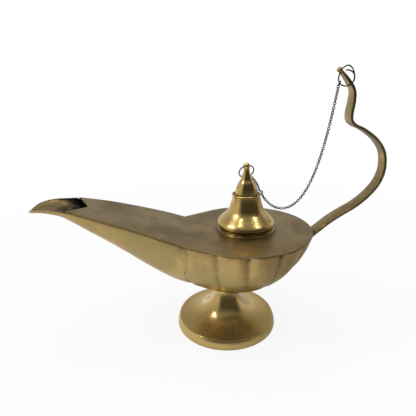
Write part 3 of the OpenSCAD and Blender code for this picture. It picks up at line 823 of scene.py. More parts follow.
def body_brass():
    """Hand-worked sheet of the bowl and the spout."""
    # The extra step paints shade into the creases, under the plate's edge and on the lower bowl
    return brass(
        "Body brass", "body", "body_green", "body_pink", 0.34, 0.12, film_amount=0.7, blotches=0.45,
        specks=0.2, dents=0.5, rubbed=0.4, recess=0.9, size=0.9, extra=painted_crease_shade,
    )


def dark_wire():
    """Tarnished wire of the rings and the chain."""
    return brass(
        "Dark wire", "wire", "tarnish", "bar", 0.42, 0.12, film_amount=0.6, blotches=0.35, size=3.0,
        edge_width=0.0002, recess_reach=0.0012, rubbed=0.12, recess=0.6,
        edge_tint=(0.12, 0.08, 0.05),
    )


# Operators, one for each piece or group of like pieces


class LampOperator:
    bl_options = {"REGISTER", "UNDO"}


# The photograph's camera, fitted to the lamp's circles: place in metres, angles in degrees
CAMERA_PLACE = (-0.0319, -0.3464, 0.25045)
CAMERA_PAN, CAMERA_TILT, CAMERA_ROLL = 2.35, 19.05, -1.11
FOCAL_PX, FRAME_PX, SENSOR_WIDTH = 366.62, 416, 36
FLOOR_HALF = 6.0
# Name, place, width, height and power of each lamp
LAMPS = (
    ("Left window", (-0.77, -0.135, 0.88), 0.18, 0.22, 3.4),
    ("Right lamp", (0.58, -0.35, 0.97), 0.1, 0.1, 1.2),
    ("Front lamp", (-0.345, -0.31, 1.1), 0.06, 0.06, 0.5),
    ("Overhead", (0.0, 0.25, 1.3), 0.9, 0.7, 5.0),
)
# Point that the lamps face, in metres
LAMP_AIM = Vector((0.0, 0.0, 0.11))
# How much of the floor that the camera sees is plain white, and how much the metal mirrors it
FLOOR_SHOWN, FLOOR_MIRRORED = 0.88, 0.7


class LAMP_OT_stage(LampOperator, bpy.types.Operator):
    """Camera, pale floor, soft lamps and white surroundings"""

    bl_idname = "lamp.stage"
    bl_label = "Stage"

    def execute(self, context):
        scene = context.scene
        scene.view_settings.view_transform = "Standard"
        self.camera(scene)
        self.floor(scene)
        self.lamps(scene)
        self.surroundings(scene)
        return {"FINISHED"}

    def camera(self, scene):
        pan, tilt, roll = rad(CAMERA_PAN), rad(CAMERA_TILT), rad(CAMERA_ROLL)
        ahead = Vector(
            (math.sin(pan) * math.cos(tilt), math.cos(pan) * math.cos(tilt), -math.sin(tilt))
        )
        level = Vector((math.cos(pan), -math.sin(pan), 0))
        over = level.cross(ahead)
        right = level * math.cos(roll) + over * math.sin(roll)
        top = over * math.cos(roll) - level * math.sin(roll)
        data = bpy.data.cameras.new("Camera")
        data.sensor_width = SENSOR_WIDTH
        data.sensor_fit = "HORIZONTAL"
        data.lens = FOCAL_PX / FRAME_PX * SENSOR_WIDTH
        data.clip_start = 0.01
        camera = bpy.data.objects.new("Camera", data)
        turn = Matrix((right, top, -ahead)).transposed().to_4x4()
        camera.matrix_world = Matrix.Translation(CAMERA_PLACE) @ turn
        scene.collection.objects.link(camera)
        scene.camera = camera

    def floor(self, scene):
        mesh = bpy.data.meshes.new("Floor")
        signs = ((-1, -1), (1, -1), (1, 1), (-1, 1))
        corners = [(sx * FLOOR_HALF, sy * FLOOR_HALF, 0) for sx, sy in signs]
        mesh.from_pydata(corners, [], [(0, 1, 2, 3)])
        floor = bpy.data.objects.new("Floor", mesh)
        scene.collection.objects.link(floor)
        material, w, shader = new_material("Pale floor")
        shader.inputs["Roughness"].default_value = 0.7
        place = w.place()
        grain = w.spread(w.noise(place, 400.0, 3.0), 0.3, 0.7, 0.97, 1.0)
        grain_mix = w.mix(1.0, tint("floor"), grain, "MULTIPLY")
        w.put(grain_mix, shader.inputs["Base Color"])
        x, y = w.split(place)[0:2]
        away = w.math("SQRT", w.plus(w.times(x, x), w.times(y, y)))
        far = w.spread(away, 0.22, 0.75)
        rays, seen = w.seen()
        seen = w.times(seen, w.plus(FLOOR_SHOWN, w.times(far, 1 - FLOOR_SHOWN)))
        mirrored = w.times(rays["Is Glossy Ray"], FLOOR_MIRRORED)
        white, painted_glow_in_metal = w.add("ShaderNodeEmission"), w.add("ShaderNodeEmission")
        # The floor's mirror image is painted light, a glow for glossy rays: brighter under the lamp
        # and to its left, darker to the right
        to_front = w.spread(y, -0.75, -0.12, 0.08, 0.42)
        to_side = w.spread(w.minus(w.times(x, -1.0), away), -0.4, -0.1)
        in_front = w.plus(to_front, w.times(to_side, 0.2))
        behind = w.times(w.spread(y, -0.05, 0.3), 0.45)
        from_left = w.times(w.spread(x, -0.06, 0.11, 1.55, 0.48), w.spread(x, -0.3, -0.1, 0.8, 1.0))
        level = w.times(w.plus(in_front, behind), from_left)
        w.put(level, painted_glow_in_metal.inputs["Strength"])
        output = material.node_tree.nodes["Material Output"]
        w.layered(shader.outputs[0], ((mirrored, painted_glow_in_metal), (seen, white)), output)
        mesh.materials.append(material)

    def lamps(self, scene):
        for name, spot, width, height, power in LAMPS:
            data = bpy.data.lights.new(name, "AREA")
            data.shape = "RECTANGLE"
            data.size, data.size_y = width, height
            data.energy = power
            light = bpy.data.objects.new(name, data)
            light.location = spot
            light.rotation_euler = (LAMP_AIM - Vector(spot)).to_track_quat("-Z", "Y").to_euler()
            scene.collection.objects.link(light)

    def surroundings(self, scene):
        """White behind the lamp, and a room that is darker overhead in the metal."""
        world = bpy.data.worlds.new("Studio")
        scene.world = world
        world.use_nodes = True
        w = Wiring(world.node_tree)
        nodes = world.node_tree.nodes
        output, room = nodes["World Output"], nodes["Background"]
        room.inputs["Color"].default_value = (0.9, 0.93, 1.0, 1)
        room.inputs["Strength"].default_value = 0.55
        white = w.add("ShaderNodeBackground")
        white.inputs["Color"].default_value = (1, 1, 1, 1)
        walls = w.add("ShaderNodeBackground")
        across, ahead, up = w.split(w.add("ShaderNodeTexCoord").outputs["Generated"])[0:3]
        # The side that the camera stands on is dark above the horizon
        toward = w.minus(w.times(across, 0.30), w.times(ahead, 0.954))
        unlit = w.times(w.spread(toward, 0.12, 0.5), w.spread(up, 0.55, 0.8, 1.0, 0.0))
        lit = w.spread(up, 0.15, 0.8, 1.0, 0.4)
        lit = w.times(lit, w.minus(1.0, w.times(unlit, 0.92)))
        w.put(lit, walls.inputs["Strength"])
        rays, seen = w.seen()
        w.layered(room.outputs[0], ((rays["Is Glossy Ray"], walls), (seen, white)), output)


# Outer height up to which the foot is hollow, and the offset of its inner skin
HOLLOW_TOP = 24.0
WALL_INWARD, WALL_DOWN = 3.36, 2.4


class LAMP_OT_foot(LampOperator, bpy.types.Operator):
    """Turned trumpet foot with its rim band, dished disc and hollow underside"""

    bl_idname = "lamp.foot"
    bl_label = "Foot"

    def execute(self, context):
        r, edge, h = mm("foot_r"), mm("foot_rim_r"), mm("foot_rim_h")
        top = mm("bowl_floor_z")
        shape = [
            (h, edge), (9.9, 45), (11, 38.5), (13, 32), (16, 26.5), (20, 21.8),
            (25, 17.8), (31, 14.4), (37, 12.2), (42, 11.4), (top, 12),
        ]
        outer = run_of(shape, 96, 1.8)[1:]
        heights = [h + (HOLLOW_TOP - h) * (k / 32) ** 1.6 for k in range(32, -1, -1)]
        under = [(smooth(shape, z, 1) - WALL_INWARD, z - WALL_DOWN) for z in heights]
        rim = eased_corners(
            [(r - 3.2, 0), (r, 0), (r, 0.9), (r - 0.5, 4.6), (edge, h), (edge - 2.2, h + 0.12)],
            0.35, closed=False,
        )
        profile = rim + outer + [(0, top), (0, under[0][1])] + under
        finish = polished_brass(metallic=0.87, pitch=700.0)
        piece("foot_body", lathe(profile), "lamp", finish, "foot", 30)
        return {"FINISHED"}


# Port from the bowl into the spout: angles about the axis, and profile angles
PORT_ANGLES = (163.9, 196.1)
PORT_LEVELS = (36, 64)
# Shares of half a lobe at which the bowl's mesh has a row, closer by the crease
TO_CREASE = (0, 0.16, 0.32, 0.48, 0.62, 0.74, 0.83, 0.9, 0.95)
HUB_R = 3.1


class LAMP_OT_bowl(LampOperator, bpy.types.Operator):
    """Lobed oil bowl, hammered a little uneven, with its port to the spout"""

    bl_idname = "lamp.bowl"
    bl_label = "Bowl"

    def execute(self, context):
        from_crease = (0,) + tuple(1 - s for s in reversed(TO_CREASE[1:]))
        rows = (TO_CREASE, from_crease)
        half = [LOBE_ANGLE / 2 * (k + s) for k in range(LOBES) for s in rows[k % 2]]
        half += [SEAM_ANGLE + 30 * s / 8 for s in range(8)]
        angles = half + [180.0] + [360 - a for a in reversed(half[1:])]
        curved = [FLAT_U + (90 - FLAT_U) * (k / 44) ** 0.95 for k in range(1, 44)]
        levels = [5, 8, FLAT_U] + curved + [90]

        def skin(thin):
            rows = []
            for a in angles:
                floor = mm("bowl_floor_z") + thin
                row = [Vector((HUB_R * cosd(a), HUB_R * sind(a), floor))]
                for u in levels:
                    p = bowl_point(a, u, thin)
                    fade = eased((u - 14) / 20) * (1 - eased((u - 80) / 10))
                    out = Vector((cosd(a), sind(a), -0.5 * cosd(u)))
                    row.append(p + out * beaten(p, 0.35, 17.0) * fade)
                rows.append(row)
            return rows

        def is_open(i, j):
            a, b = angles[i], angles[(i + 1) % len(angles)]
            inside = b > a > PORT_ANGLES[0] and b < PORT_ANGLES[1] and j > 0
            return inside and PORT_LEVELS[0] < levels[j - 1] and levels[j] < PORT_LEVELS[1]

        shape = thick_grid(skin(0), skin(mm("bowl_wall")), is_open, wrap=True)
        piece("bowl_body", shape, "lamp", body_brass(), "bowl", 62)
        return {"FINISHED"}


# Places along the spout, in metres, between which soot and painted shade set in; end of the inner
# finish
SOOT_AND_SHADE_SPAN = (-0.162, -0.138)
INSIDE_END = -43


class LAMP_OT_spout(LampOperator, bpy.types.Operator):
    """Long spout brazed to the bowl, open at its beak, with soot and painted shade inside"""

    bl_idname = "lamp.spout"
    bl_label = "Spout"

    def execute(self, context):
        columns = 72
        corner, fold_x = mm("notch_corner_x"), mm("fold_x")

        def skin(thin):
            rows = []
            for j in range(columns + 1):
                a = 180 * j / columns
                end = seam_x(a, thin)
                start = BEAK[0][0] + thin * 0.9
                fold = min(fold_x, end - 0.8)
                xs = [start + (corner - start) * (s / 34) ** 1.4 for s in range(34)]
                xs += [corner + (fold - corner) * s / 56 for s in range(56)]
                xs += [fold + (end - fold) * s / 10 for s in range(11)]
                row = []
                for x in xs:
                    p = spout_point(x, a, thin)
                    worked = eased(a / 25) * eased((180 - a) / 25)
                    worked *= eased((x + 190) / 25) * eased((end - x) / 12)
                    out = Vector((0, -cosd(a), -sind(a)))
                    row.append(p + out * beaten(p, 0.4, 21.0, 3.0) * worked)
                rows.append(row)
            return rows

        shape = thick_grid(skin(0), skin(mm("spout_wall")))
        spout = piece("spout_body", shape, "lamp", body_brass(), "spout", 50)
        # Inner faces of the spout: darker brass, with soot and painted shade towards the notch
        inside = brass(
            "Sooty brass", "plate", "plate_dark", "body_pink", 0.5, 0.12, film_amount=0.5,
            blotches=0.35, rubbed=0.2, bump=0.1, extra=soot_and_shade_inside(*SOOT_AND_SHADE_SPAN),
        )
        spout.data.materials.append(inside)
        for face in spout.data.polygons:
            x, y, z = (c / MM for c in face.center)
            centre = Vector((0, y, z - smooth(BEAK, x, 2)))
            if centre.dot(Vector((0, face.normal.y, face.normal.z))) < -0.02 and x < INSIDE_END:
                face.material_index = 1
        round_edges(spout, 0.35, limit=50, angle=50)
        return {"FINISHED"}


FILLER_HOLE_R = 20


class LAMP_OT_top_plate(LampOperator, bpy.types.Operator):
    """One sheet over the bowl, folded up along the spout and notched at the mouth"""

    bl_idname = "lamp.top_plate"
    bl_label = "Top plate"

    def execute(self, context):
        r, x0, t = mm("plate_r"), mm("bowl_x"), mm("plate_t")
        fold, corner, point = mm("fold_x"), mm("notch_corner_x"), mm("notch_point_x")
        lap = mm("plate_lap")
        meet_x = x0 + r * cosd(FLARE_ANGLE)
        meet_y = r * sind(FLARE_ANGLE)
        fold_y = smooth(BEAK, fold, 1) + lap
        columns = 48
        upper = []
        for j in range(columns + 1):
            v = 2 * j / columns - 1
            start = point + (corner - point) * abs(v)
            line = []
            for s in range(61):
                x = start + (fold - start) * s / 60
                line.append((x, v * (smooth(BEAK, x, 1) + lap)))
            for s in range(1, 13):
                u = s / 12
                line.append((fold + (meet_x - fold) * u, v * (fold_y + (meet_y - fold_y) * u)))
            for s in range(1, 73):
                a = rad(FLARE_ANGLE) * (1 - s / 73)
                line.append((x0 + r * math.cos(a), v * r * math.sin(a)))
            row = []
            for x, y in line:
                wave = beaten((x, y, 0), 0.22, 38.0, 7.0) * eased((66 - math.hypot(x - x0, y)) / 20)
                if x < fold:
                    wave = beaten((x, y, 0), 0.3, 34.0, 9.0) * eased((fold - x) / 15)
                row.append(Vector((x, y, plate_top(x) + wave * (1 - abs(v)))))
            upper.append(row)
        lower = [[p - UP * t for p in row] for row in upper]
        film = brass(
            "Dull plate", "plate", "plate_dark", "body_pink", 0.36, 0.1, film_amount=0.85,
            blotches=0.16, specks=0.12, rubbed=0.75, recess=0.9, recess_reach=0.009, scratches=0.7,
            dents=0.5, axis_x=x0 * MM, pitch=420.0, turning=0.5,
        )
        shape = thick_grid(upper, lower)
        plate = piece("plate_sheet", shape, "lamp", film, "top_plate", 30)
        outline = [(0, -5), (FILLER_HOLE_R, -5), (FILLER_HOLE_R, 5), (0, 5)]
        cut(plate, *lathe(raised(outline, mm("plate_z")), (x0, 0), 96))
        round_edges(plate, 0.3, limit=45, angle=30)
        return {"FINISHED"}


# Recess in the neck's rim that the stopper's flange sits in
RECESS_R = 12.6
SEAT_DROP = 1.0
# Heights above the plate: the neck's lip, the dome's crown, the finial's eye and its round tip
LIP_TOP = 6.2
CROWN_Z = 47.8
EYE_Z = 64.7
TIP_Z, TIP_R = 64.8, 3.2
# Direction of the eye through the finial, and radius of the stud that joins it to the dome
EYE_TURN = 12.0
STUD_R = 2.4


class LAMP_OT_neck(LampOperator, bpy.types.Operator):
    """Bell-shaped neck with its lip, cove and rolled rim, bored for the stopper"""

    bl_idname = "lamp.neck"
    bl_label = "Neck"

    def lip_shade_and_edge(self, w, place, base):
        """Painted shade in the groove above the flange, and a dull pale edge on the flange itself.
        """
        z = w.minus(w.split(place)[2], mm("plate_z") * MM)
        groove_shade = w.times(w.spread(z, 0.0009, 0.0014), w.spread(z, 0.0046, 0.006, 1.0, 0.0))
        edge = w.spread(z, 0.0009, 0.0013, 0.8, 0.0)
        # Painted shade darkens the groove
        base = w.mix(w.times(groove_shade, 0.6), base, tint("tarnish"))
        return w.mix(edge, base, tint("body"))

    def execute(self, context):
        base, h, bead = mm("plate_z"), mm("neck_h"), 0.9
        shape = [
            (LIP_TOP, 29.0), (7.3, 29.1), (8.8, 28.5), (10.8, 27.0), (13, 24.8), (15.6, 22.1),
            (18.5, 19.4), (22, 17.3), (26, 15.9), (30, 14.7), (34, 13.9),
        ]
        lip = eased_corners(
            [(FILLER_HOLE_R, 0), (29.2, 0), (29.2, 1.1), (28.8, 1.5), (27.6, 1.9), (27.2, 3.3),
             (27.5, 4.7), (28.3, 5.6), (29.0, LIP_TOP)], 0.3, closed=False,
        )
        outer = run_of(shape, 90)[1:]
        rim_r = mm("neck_rim_r") - bead
        rolled = [(rim_r + bead * cosd(a), h + bead * sind(a)) for a in range(-70, 151, 10)]
        bore, seat = mm("plug_r") + 0.3, h - SEAT_DROP
        socket = [(RECESS_R, h), (RECESS_R, seat), (bore, seat), (bore, 29.5)]
        heights = [LIP_TOP + (28 - LIP_TOP) * k / 30 for k in range(30, -1, -1)]
        inner = [(min(smooth(shape, z + 1, 1) - 1.9, 20), z) for z in heights]
        shape = lathe(raised(lip + outer + rolled + socket + inner, base), (mm("bowl_x"), 0))
        finish = polished_brass(
            "Neck brass", mm("bowl_x") * MM, recess_reach=0.004, bump=0.05, scratches=0.2,
            dents=0.2, extra=self.lip_shade_and_edge,
        )
        piece("neck_bell", shape, "lamp", finish, "neck_collar", 38)
        return {"FINISHED"}


class LAMP_OT_stopper(LampOperator, bpy.types.Operator):
    """Domed stopper with its plug, and the finial screwed into its crown"""

    bl_idname = "lamp.stopper"
    bl_label = "Stopper and finial"

    def execute(self, context):
        base, seat = mm("plate_z"), mm("neck_h") - SEAT_DROP
        plug, x0, dome_r = mm("plug_r"), mm("bowl_x"), mm("dome_r")
        flange, foot = RECESS_R - 0.3, seat + 0.9
        shape = [(foot, dome_r), (38, dome_r - 0.2), (40.6, 10.6), (43.4, 10), (45.8, 9.1)]
        dome = run_of(shape + [(CROWN_Z, 8.2)], 40)
        start = [(plug - 1.8, seat - 12), (plug - 0.6, seat - 12), (plug, seat - 10.8)]
        start += [(plug, seat), (flange, seat), (flange, foot), (dome_r + 0.1, foot)]
        start = eased_corners(start, 0.25, closed=False)
        end = [(STUD_R, CROWN_Z), (STUD_R, 42), (5.4, 42), (plug - 1.8, 39)]
        shape = lathe(raised(start + dome + end, base), (x0, 0), 160)
        finish = polished_brass("Neck brass", x0 * MM)
        piece("stopper_dome", shape, "stopper", finish, "stopper_cap", 38)
        tall = [
            (CROWN_Z, 8.0), (49.2, 7.2), (50.8, 6.2), (52.4, 5.4), (54.6, 4.6), (57, 3.6),
            (60, 3), (62.5, 2.9), (TIP_Z, TIP_R),
        ]
        shaft = run_of(tall, 60)
        tip = [(TIP_R * cosd(a), TIP_Z + TIP_R * sind(a)) for a in range(10, 90, 10)]
        stud = [(0, 42.6), (STUD_R, 42.6), (STUD_R, CROWN_Z)]
        top = [(0, TIP_Z + TIP_R)]
        shape = lathe(raised(stud + shaft + tip + top, base), (x0, 0), 96)
        finial = piece("finial_tip", shape, "stopper", finish, "finial", 38)
        axis = Vector((cosd(EYE_TURN), sind(EYE_TURN), 0))
        middle = Vector((x0, 0, base + EYE_Z))
        hole = tube([middle - axis * 9, middle, middle + axis * 9], 1.6, 40, UP, round_ends=False)
        cut(finial, *hole)
        round_edges(finial, 0.18, limit=50, angle=50)
        return {"FINISHED"}


# Lean of the finial's ring away from straight down, and the chain's pull in its plane
FINIAL_RING_LEAN, FINIAL_RING_PULL = 28, 8


def finial_ring_frame():
    """Middle of the finial's ring, and its directions down and to the side."""
    turn, lean, pull = rad(EYE_TURN), rad(FINIAL_RING_LEAN), rad(FINIAL_RING_PULL)
    side = Vector((math.cos(turn), math.sin(turn), 0))
    down = Vector((-side[1] * math.sin(lean), side[0] * math.sin(lean), -math.cos(lean)))
    eye = Vector((mm("bowl_x"), 0, mm("plate_z") + EYE_Z))
    hang = down * math.cos(pull) + side * math.sin(pull)
    return eye + hang * (mm("ring_r") - 0.35), down, side


# Middle of the handle's bar from the tang to the tip, as x and z
BAR_LINE = [
    (79.7, 85.6), (83.1, 92), (86.6, 97.6), (91, 102.2), (95.6, 106.1), (101, 110.8), (107, 115.4),
    (113.8, 120), (121, 124.4), (130, 130), (140, 138.6), (149, 149.5), (153.8, 161.5),
    (154.3, 173.5), (151, 185.5), (142.5, 196.2), (130.5, 204.8), (121.4, 209.2), (117, 213.6),
    (116.1, 220), (117.3, 231.5), (116.6, 241), (110.7, 250), (103.6, 258),
]
TIP_U = len(BAR_LINE) - 1
TIP_HOLE_R = 2.0
# Distance from the tip along those points, and share of the bar's full width there
BAR_WIDTHS = [
    (0, 6.6 / 15.4), (1, 0.6), (2, 0.74), (3, 0.92), (4, 0.98), (6, 0.94), (9.5, 0.83),
    (13, 0.91), (16, 1), (24, 1),
]


def bar_mid(u):
    p = along(BAR_LINE, max(0.0, min(u, TIP_U)))
    return Vector((p[0], 0, p[1]))


def bar_way(u):
    return (bar_mid(u + 0.02) - bar_mid(u - 0.02)).normalized()


def tip_hole():
    """Place of the hole in the handle's tip, the bar's direction there and the hole's axis."""
    way = bar_way(TIP_U - 0.1)
    return bar_mid(TIP_U - 0.1), way, Vector((way[2], 0, -way[0]))


# Hang of the handle's ring: its lean and turn in degrees, and its middle below the hole
COIL_LEAN, COIL_TURN, COIL_DROP = 8.6, -25, 8.33
# How far the ring's free end springs out
COIL_SPRING = 3.9


def coil_point(a):
    """Point of the handle ring's wire at angle a from the hole."""
    hole, way, axis = tip_hole()
    lean = rad(COIL_LEAN)
    turn = Matrix.Rotation(rad(COIL_TURN), 3, "Z")
    down = turn @ (way * -math.cos(lean) - Vector((0, math.sin(lean), 0)))
    side = turn @ axis
    face = side.cross(down)
    middle = hole + down * COIL_DROP
    spring = COIL_SPRING * eased((a - 300) / 105) * eased((500 - a) / 95) / math.sqrt(2)
    apart = 2.2 * mm("ring_wire_r") * (0.5 - eased((a - 250) / 220))
    round_it = (side * sind(a) - down * cosd(a)) * mm("handle_ring_r")
    return middle + round_it + (side - down) * spring + face * apart


def circle(middle, side, down, r, steps):
    turns = [2 * math.pi * s / steps for s in range(steps)]
    return [middle + (side * math.sin(a) + down * math.cos(a)) * r for a in turns]


CONNECTOR_R = 2.2
CONNECTOR_WIRE_R = 0.42
CONNECTOR_WAY = Vector((-0.35, 0.1, -1)).normalized()


def connector_frame():
    at = coil_point(276)
    across = (coil_point(280) - coil_point(272)).cross(CONNECTOR_WAY).normalized()
    return at + CONNECTOR_WAY * 0.45, across


class LAMP_OT_rings(LampOperator, bpy.types.Operator):
    """Ring in the finial's eye, sprung ring in the handle's tip and the connecting ring"""

    bl_idname = "lamp.rings"
    bl_label = "Rings"

    def execute(self, context):
        wire, slot, finish = mm("ring_wire_r"), "dark_wire", dark_wire()
        middle, down, side = finial_ring_frame()
        path = circle(middle, side, down, mm("ring_r"), 96)
        shape = tube(path, wire, 14, side.cross(down), closed=True)
        piece("finial_wire_ring", shape, "finial_ring", finish, "finial_ring")
        path = [coil_point(35 + 525 * k / 180) for k in range(181)]
        shape = tube(path, wire, 14, Vector((0.3, 0.9, -0.3)))
        piece("handle_wire_ring", shape, "handle_ring", finish, "handle_ring")
        middle, across = connector_frame()
        path = circle(middle, across, CONNECTOR_WAY, CONNECTOR_R, 40)
        shape = tube(path, CONNECTOR_WIRE_R, 10, across.cross(CONNECTOR_WAY), closed=True)
        piece("connecting_link", shape, "handle_ring", finish, "connector_ring")
        return {"FINISHED"}


class ChainRun:
    """The chain's line, and the place and roll of each link on it."""

    HANGING, ON_STOPPER = 51, 9
    SPARE_HALF_TURNS = 5
    RING_ANGLE = 40
    # Lowest point of the catenary and its scale
    SAG_X, SAG_Z, SAG_SCALE = 57.5, 127, 16.5

    def __init__(self):
        middle, across = connector_frame()
        top = middle + CONNECTOR_WAY * (CONNECTOR_R - 0.47)
        ring_middle, down, side = finial_ring_frame()
        c, s = cosd(self.RING_ANGLE), sind(self.RING_ANGLE)
        ring_at = ring_middle + (down * c + side * s) * mm("ring_r")
        on_dome = [
            Vector(p)
            for p in (
                (38.1, 2.4, 140), (36.7, 1.5, 142.7), (36.1, 0.8, 145.7), (33.4, 0.2, 147.6),
                (32.5, 0, 150.6), (31.1, 1.5, 154.1), (28.5, 3.6, 157.6),
            )
        ]
        onto = (on_dome[-1] - ring_at).normalized()
        line = [top] + [self.sag(s) for s in range(128, -23, -6)] + on_dome
        line += [ring_at + onto * 2.4, ring_at - onto * (mm("ring_wire_r") + 0.05)]
        last = len(line) - 1
        self.fine = [along(line, min(i / 8, last)) for i in range(last * 8 + 1)]
        self.lengths = [0.0]
        for a, b in zip(self.fine, self.fine[1:]):
            self.lengths.append(self.lengths[-1] + (b - a).length)
        self.total = self.lengths[-1]
        self.count = round(self.total / (mm("link_in") - 0.12))
        self.pitch = (self.total - mm("link_in")) / (self.count - 1)
        first_way = (self.at(3) - top).normalized()
        last_way = (self.fine[-1] - self.at(self.total - 3)).normalized()
        ring_run = side * c - down * s
        self.first_roll = self.roll_of(first_way.cross(across), first_way)
        odd = (self.count - 1) % 2
        end = self.roll_of(ring_run.cross(last_way).normalized(), last_way) - math.pi / 2 * odd
        gap = end - self.first_roll
        self.twist = gap - math.pi * (round(gap / math.pi) - self.SPARE_HALF_TURNS)

    def sag(self, s):
        """Point of the hanging stretch at length s from its lowest point."""
        scale = self.SAG_SCALE
        x = self.SAG_X + scale * math.asinh(s / scale)
        z = self.SAG_Z + scale * (math.cosh((x - self.SAG_X) / scale) - 1)
        return Vector((x, 3.2 - 3.6 * (x - 40) / 62, z))

    def at(self, s):
        i = 0
        while i < len(self.lengths) - 2 and s >= self.lengths[i + 1]:
            i += 1
        u = (s - self.lengths[i]) / (self.lengths[i + 1] - self.lengths[i])
        return self.fine[i].lerp(self.fine[i + 1], u)

    def level(self, way):
        return way.cross(Vector((0, 1, 0.01))).normalized()

    def roll_of(self, side, way):
        return math.atan2(side.dot(way.cross(self.level(way))), side.dot(self.level(way)))

    def link(self, k):
        """Middle, direction and side of link k."""
        s = mm("link_in") / 2 + self.pitch * k
        way = (self.at(min(s + 1.5, self.total)) - self.at(max(s - 1.5, 0))).normalized()
        roll = self.first_roll + math.pi / 2 * (k % 2) + self.twist * k / (self.count - 1)
        level = self.level(way)
        return self.at(s), way, level * math.cos(roll) + way.cross(level) * math.sin(roll)


class LAMP_OT_chain(LampOperator, bpy.types.Operator):
    """Cable chain of oval links, in three stretches"""

    bl_idname = "lamp.chain"
    bl_label = "Chain"

    def execute(self, context):
        run = ChainRun()
        a, b = run.HANGING, run.count - run.ON_STOPPER
        low, rim = run.link(a)[0], run.link(b)[0]
        top, end = run.at(0), run.at(run.total)
        stretches = (
            ("chain_to_handle", "chain_upper", 0, a, "handle_ring", top, "lamp", low),
            ("chain_sag", "chain_middle", a, b, "lamp", low, "stopper", rim),
            ("chain_on_stopper", "chain_lower", b, run.count, "stopper", rim, "finial_ring", end),
        )
        for name, node, first, stop, body_a, start, body_b, finish in stretches:
            verts, faces = [], []
            for k in range(first, stop):
                middle, way, side = run.link(k)
                more, more_faces = self.oval(middle, way, side)
                faces += [tuple(v + len(verts) for v in f) for f in more_faces]
                verts += more
            chain = piece(name, (verts, faces), None, dark_wire(), node)
            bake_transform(chain)
        return {"FINISHED"}

    def oval(self, middle, way, side):
        wire, gap = mm("link_wire_r"), mm("link_gap")
        bend = gap / 2 + wire
        half = (mm("link_in") - gap) / 2
        path = []
        for end in (1, -1):
            for s in range(12):
                a = math.pi * s / 11 - end * math.pi / 2
                path.append((end * half + bend * math.cos(a), bend * math.sin(a)))
        path = [middle + way * x + side * y for x, y in path]
        return tube(path, wire, 8, way.cross(side), closed=True)


class LAMP_OT_handle(LampOperator, bpy.types.Operator):
    """Flat bar bent in the upright plane, with its knobbed and drilled tip"""

    bl_idname = "lamp.handle"
    bl_label = "Handle"

    def half_width(self, u):
        return mm("bar_w") / 2 * smooth(BAR_WIDTHS, TIP_U - u, 1)

    def half_thick(self, u):
        t = mm("bar_t")
        return (t - 0.8 * (u - TIP_U + 1) if u > TIP_U - 1 else t) / 2

    def execute(self, context):
        steps, corner, sides = 300, 0.55, 5
        verts = []
        for i in range(steps + 1):
            u = TIP_U * i / steps
            p, t = bar_mid(u), bar_way(u)
            over = Vector((-t[2], 0, t[0]))
            w, h = self.half_width(u), self.half_thick(u)
            uneven = beaten(p, 0.25, 14.0, 11.0)
            for quarter, (sy, sx) in enumerate(((1, -1), (1, 1), (-1, 1), (-1, -1))):
                for s in range(sides):
                    a = rad(90 * (quarter - 1) + 90 * s / (sides - 1))
                    y = sy * (w - corner) + corner * math.cos(a)
                    x = sx * (h - corner) + corner * math.sin(a)
                    crown = 0.25 * (1 - (y / w) ** 2) * (1 if x > 0 else -1)
                    verts.append(p + Vector((0, y, 0)) + over * (x + crown + uneven * 0.3))
        n = 4 * sides
        faces = sleeve(steps + 1, n) + [tuple(range(n)), tuple(steps * n + k for k in range(n))]
        finish = brass(
            "Handle brass", "bar", "plate_dark", "polished", 0.3, 0.12, film_amount=0.6,
            blotches=0.35, specks=0.3, rubbed=0.6, recess=0.9, scratches=0.7, dents=0.6, size=1.3,
        )
        shape = (verts, faces)
        bar = piece("handle_bar", shape, "lamp", finish, "handle", 45)
        r = mm("knob_r")
        ball = [(r * cosd(a), bar_mid(TIP_U)[2] + r * sind(a)) for a in range(-80, 90, 10)]
        ball = [(0, ball[0][1] - 0.04)] + ball + [(0, ball[-1][1] + 0.04)]
        cut(bar, *lathe(ball, (bar_mid(TIP_U)[0], 0), 40), operation="UNION")
        hole, way, axis = tip_hole()
        drill = [hole - axis * 8, hole, hole + axis * 8]
        cut(bar, *tube(drill, TIP_HOLE_R, 32, way, round_ends=False))
        return {"FINISHED"}


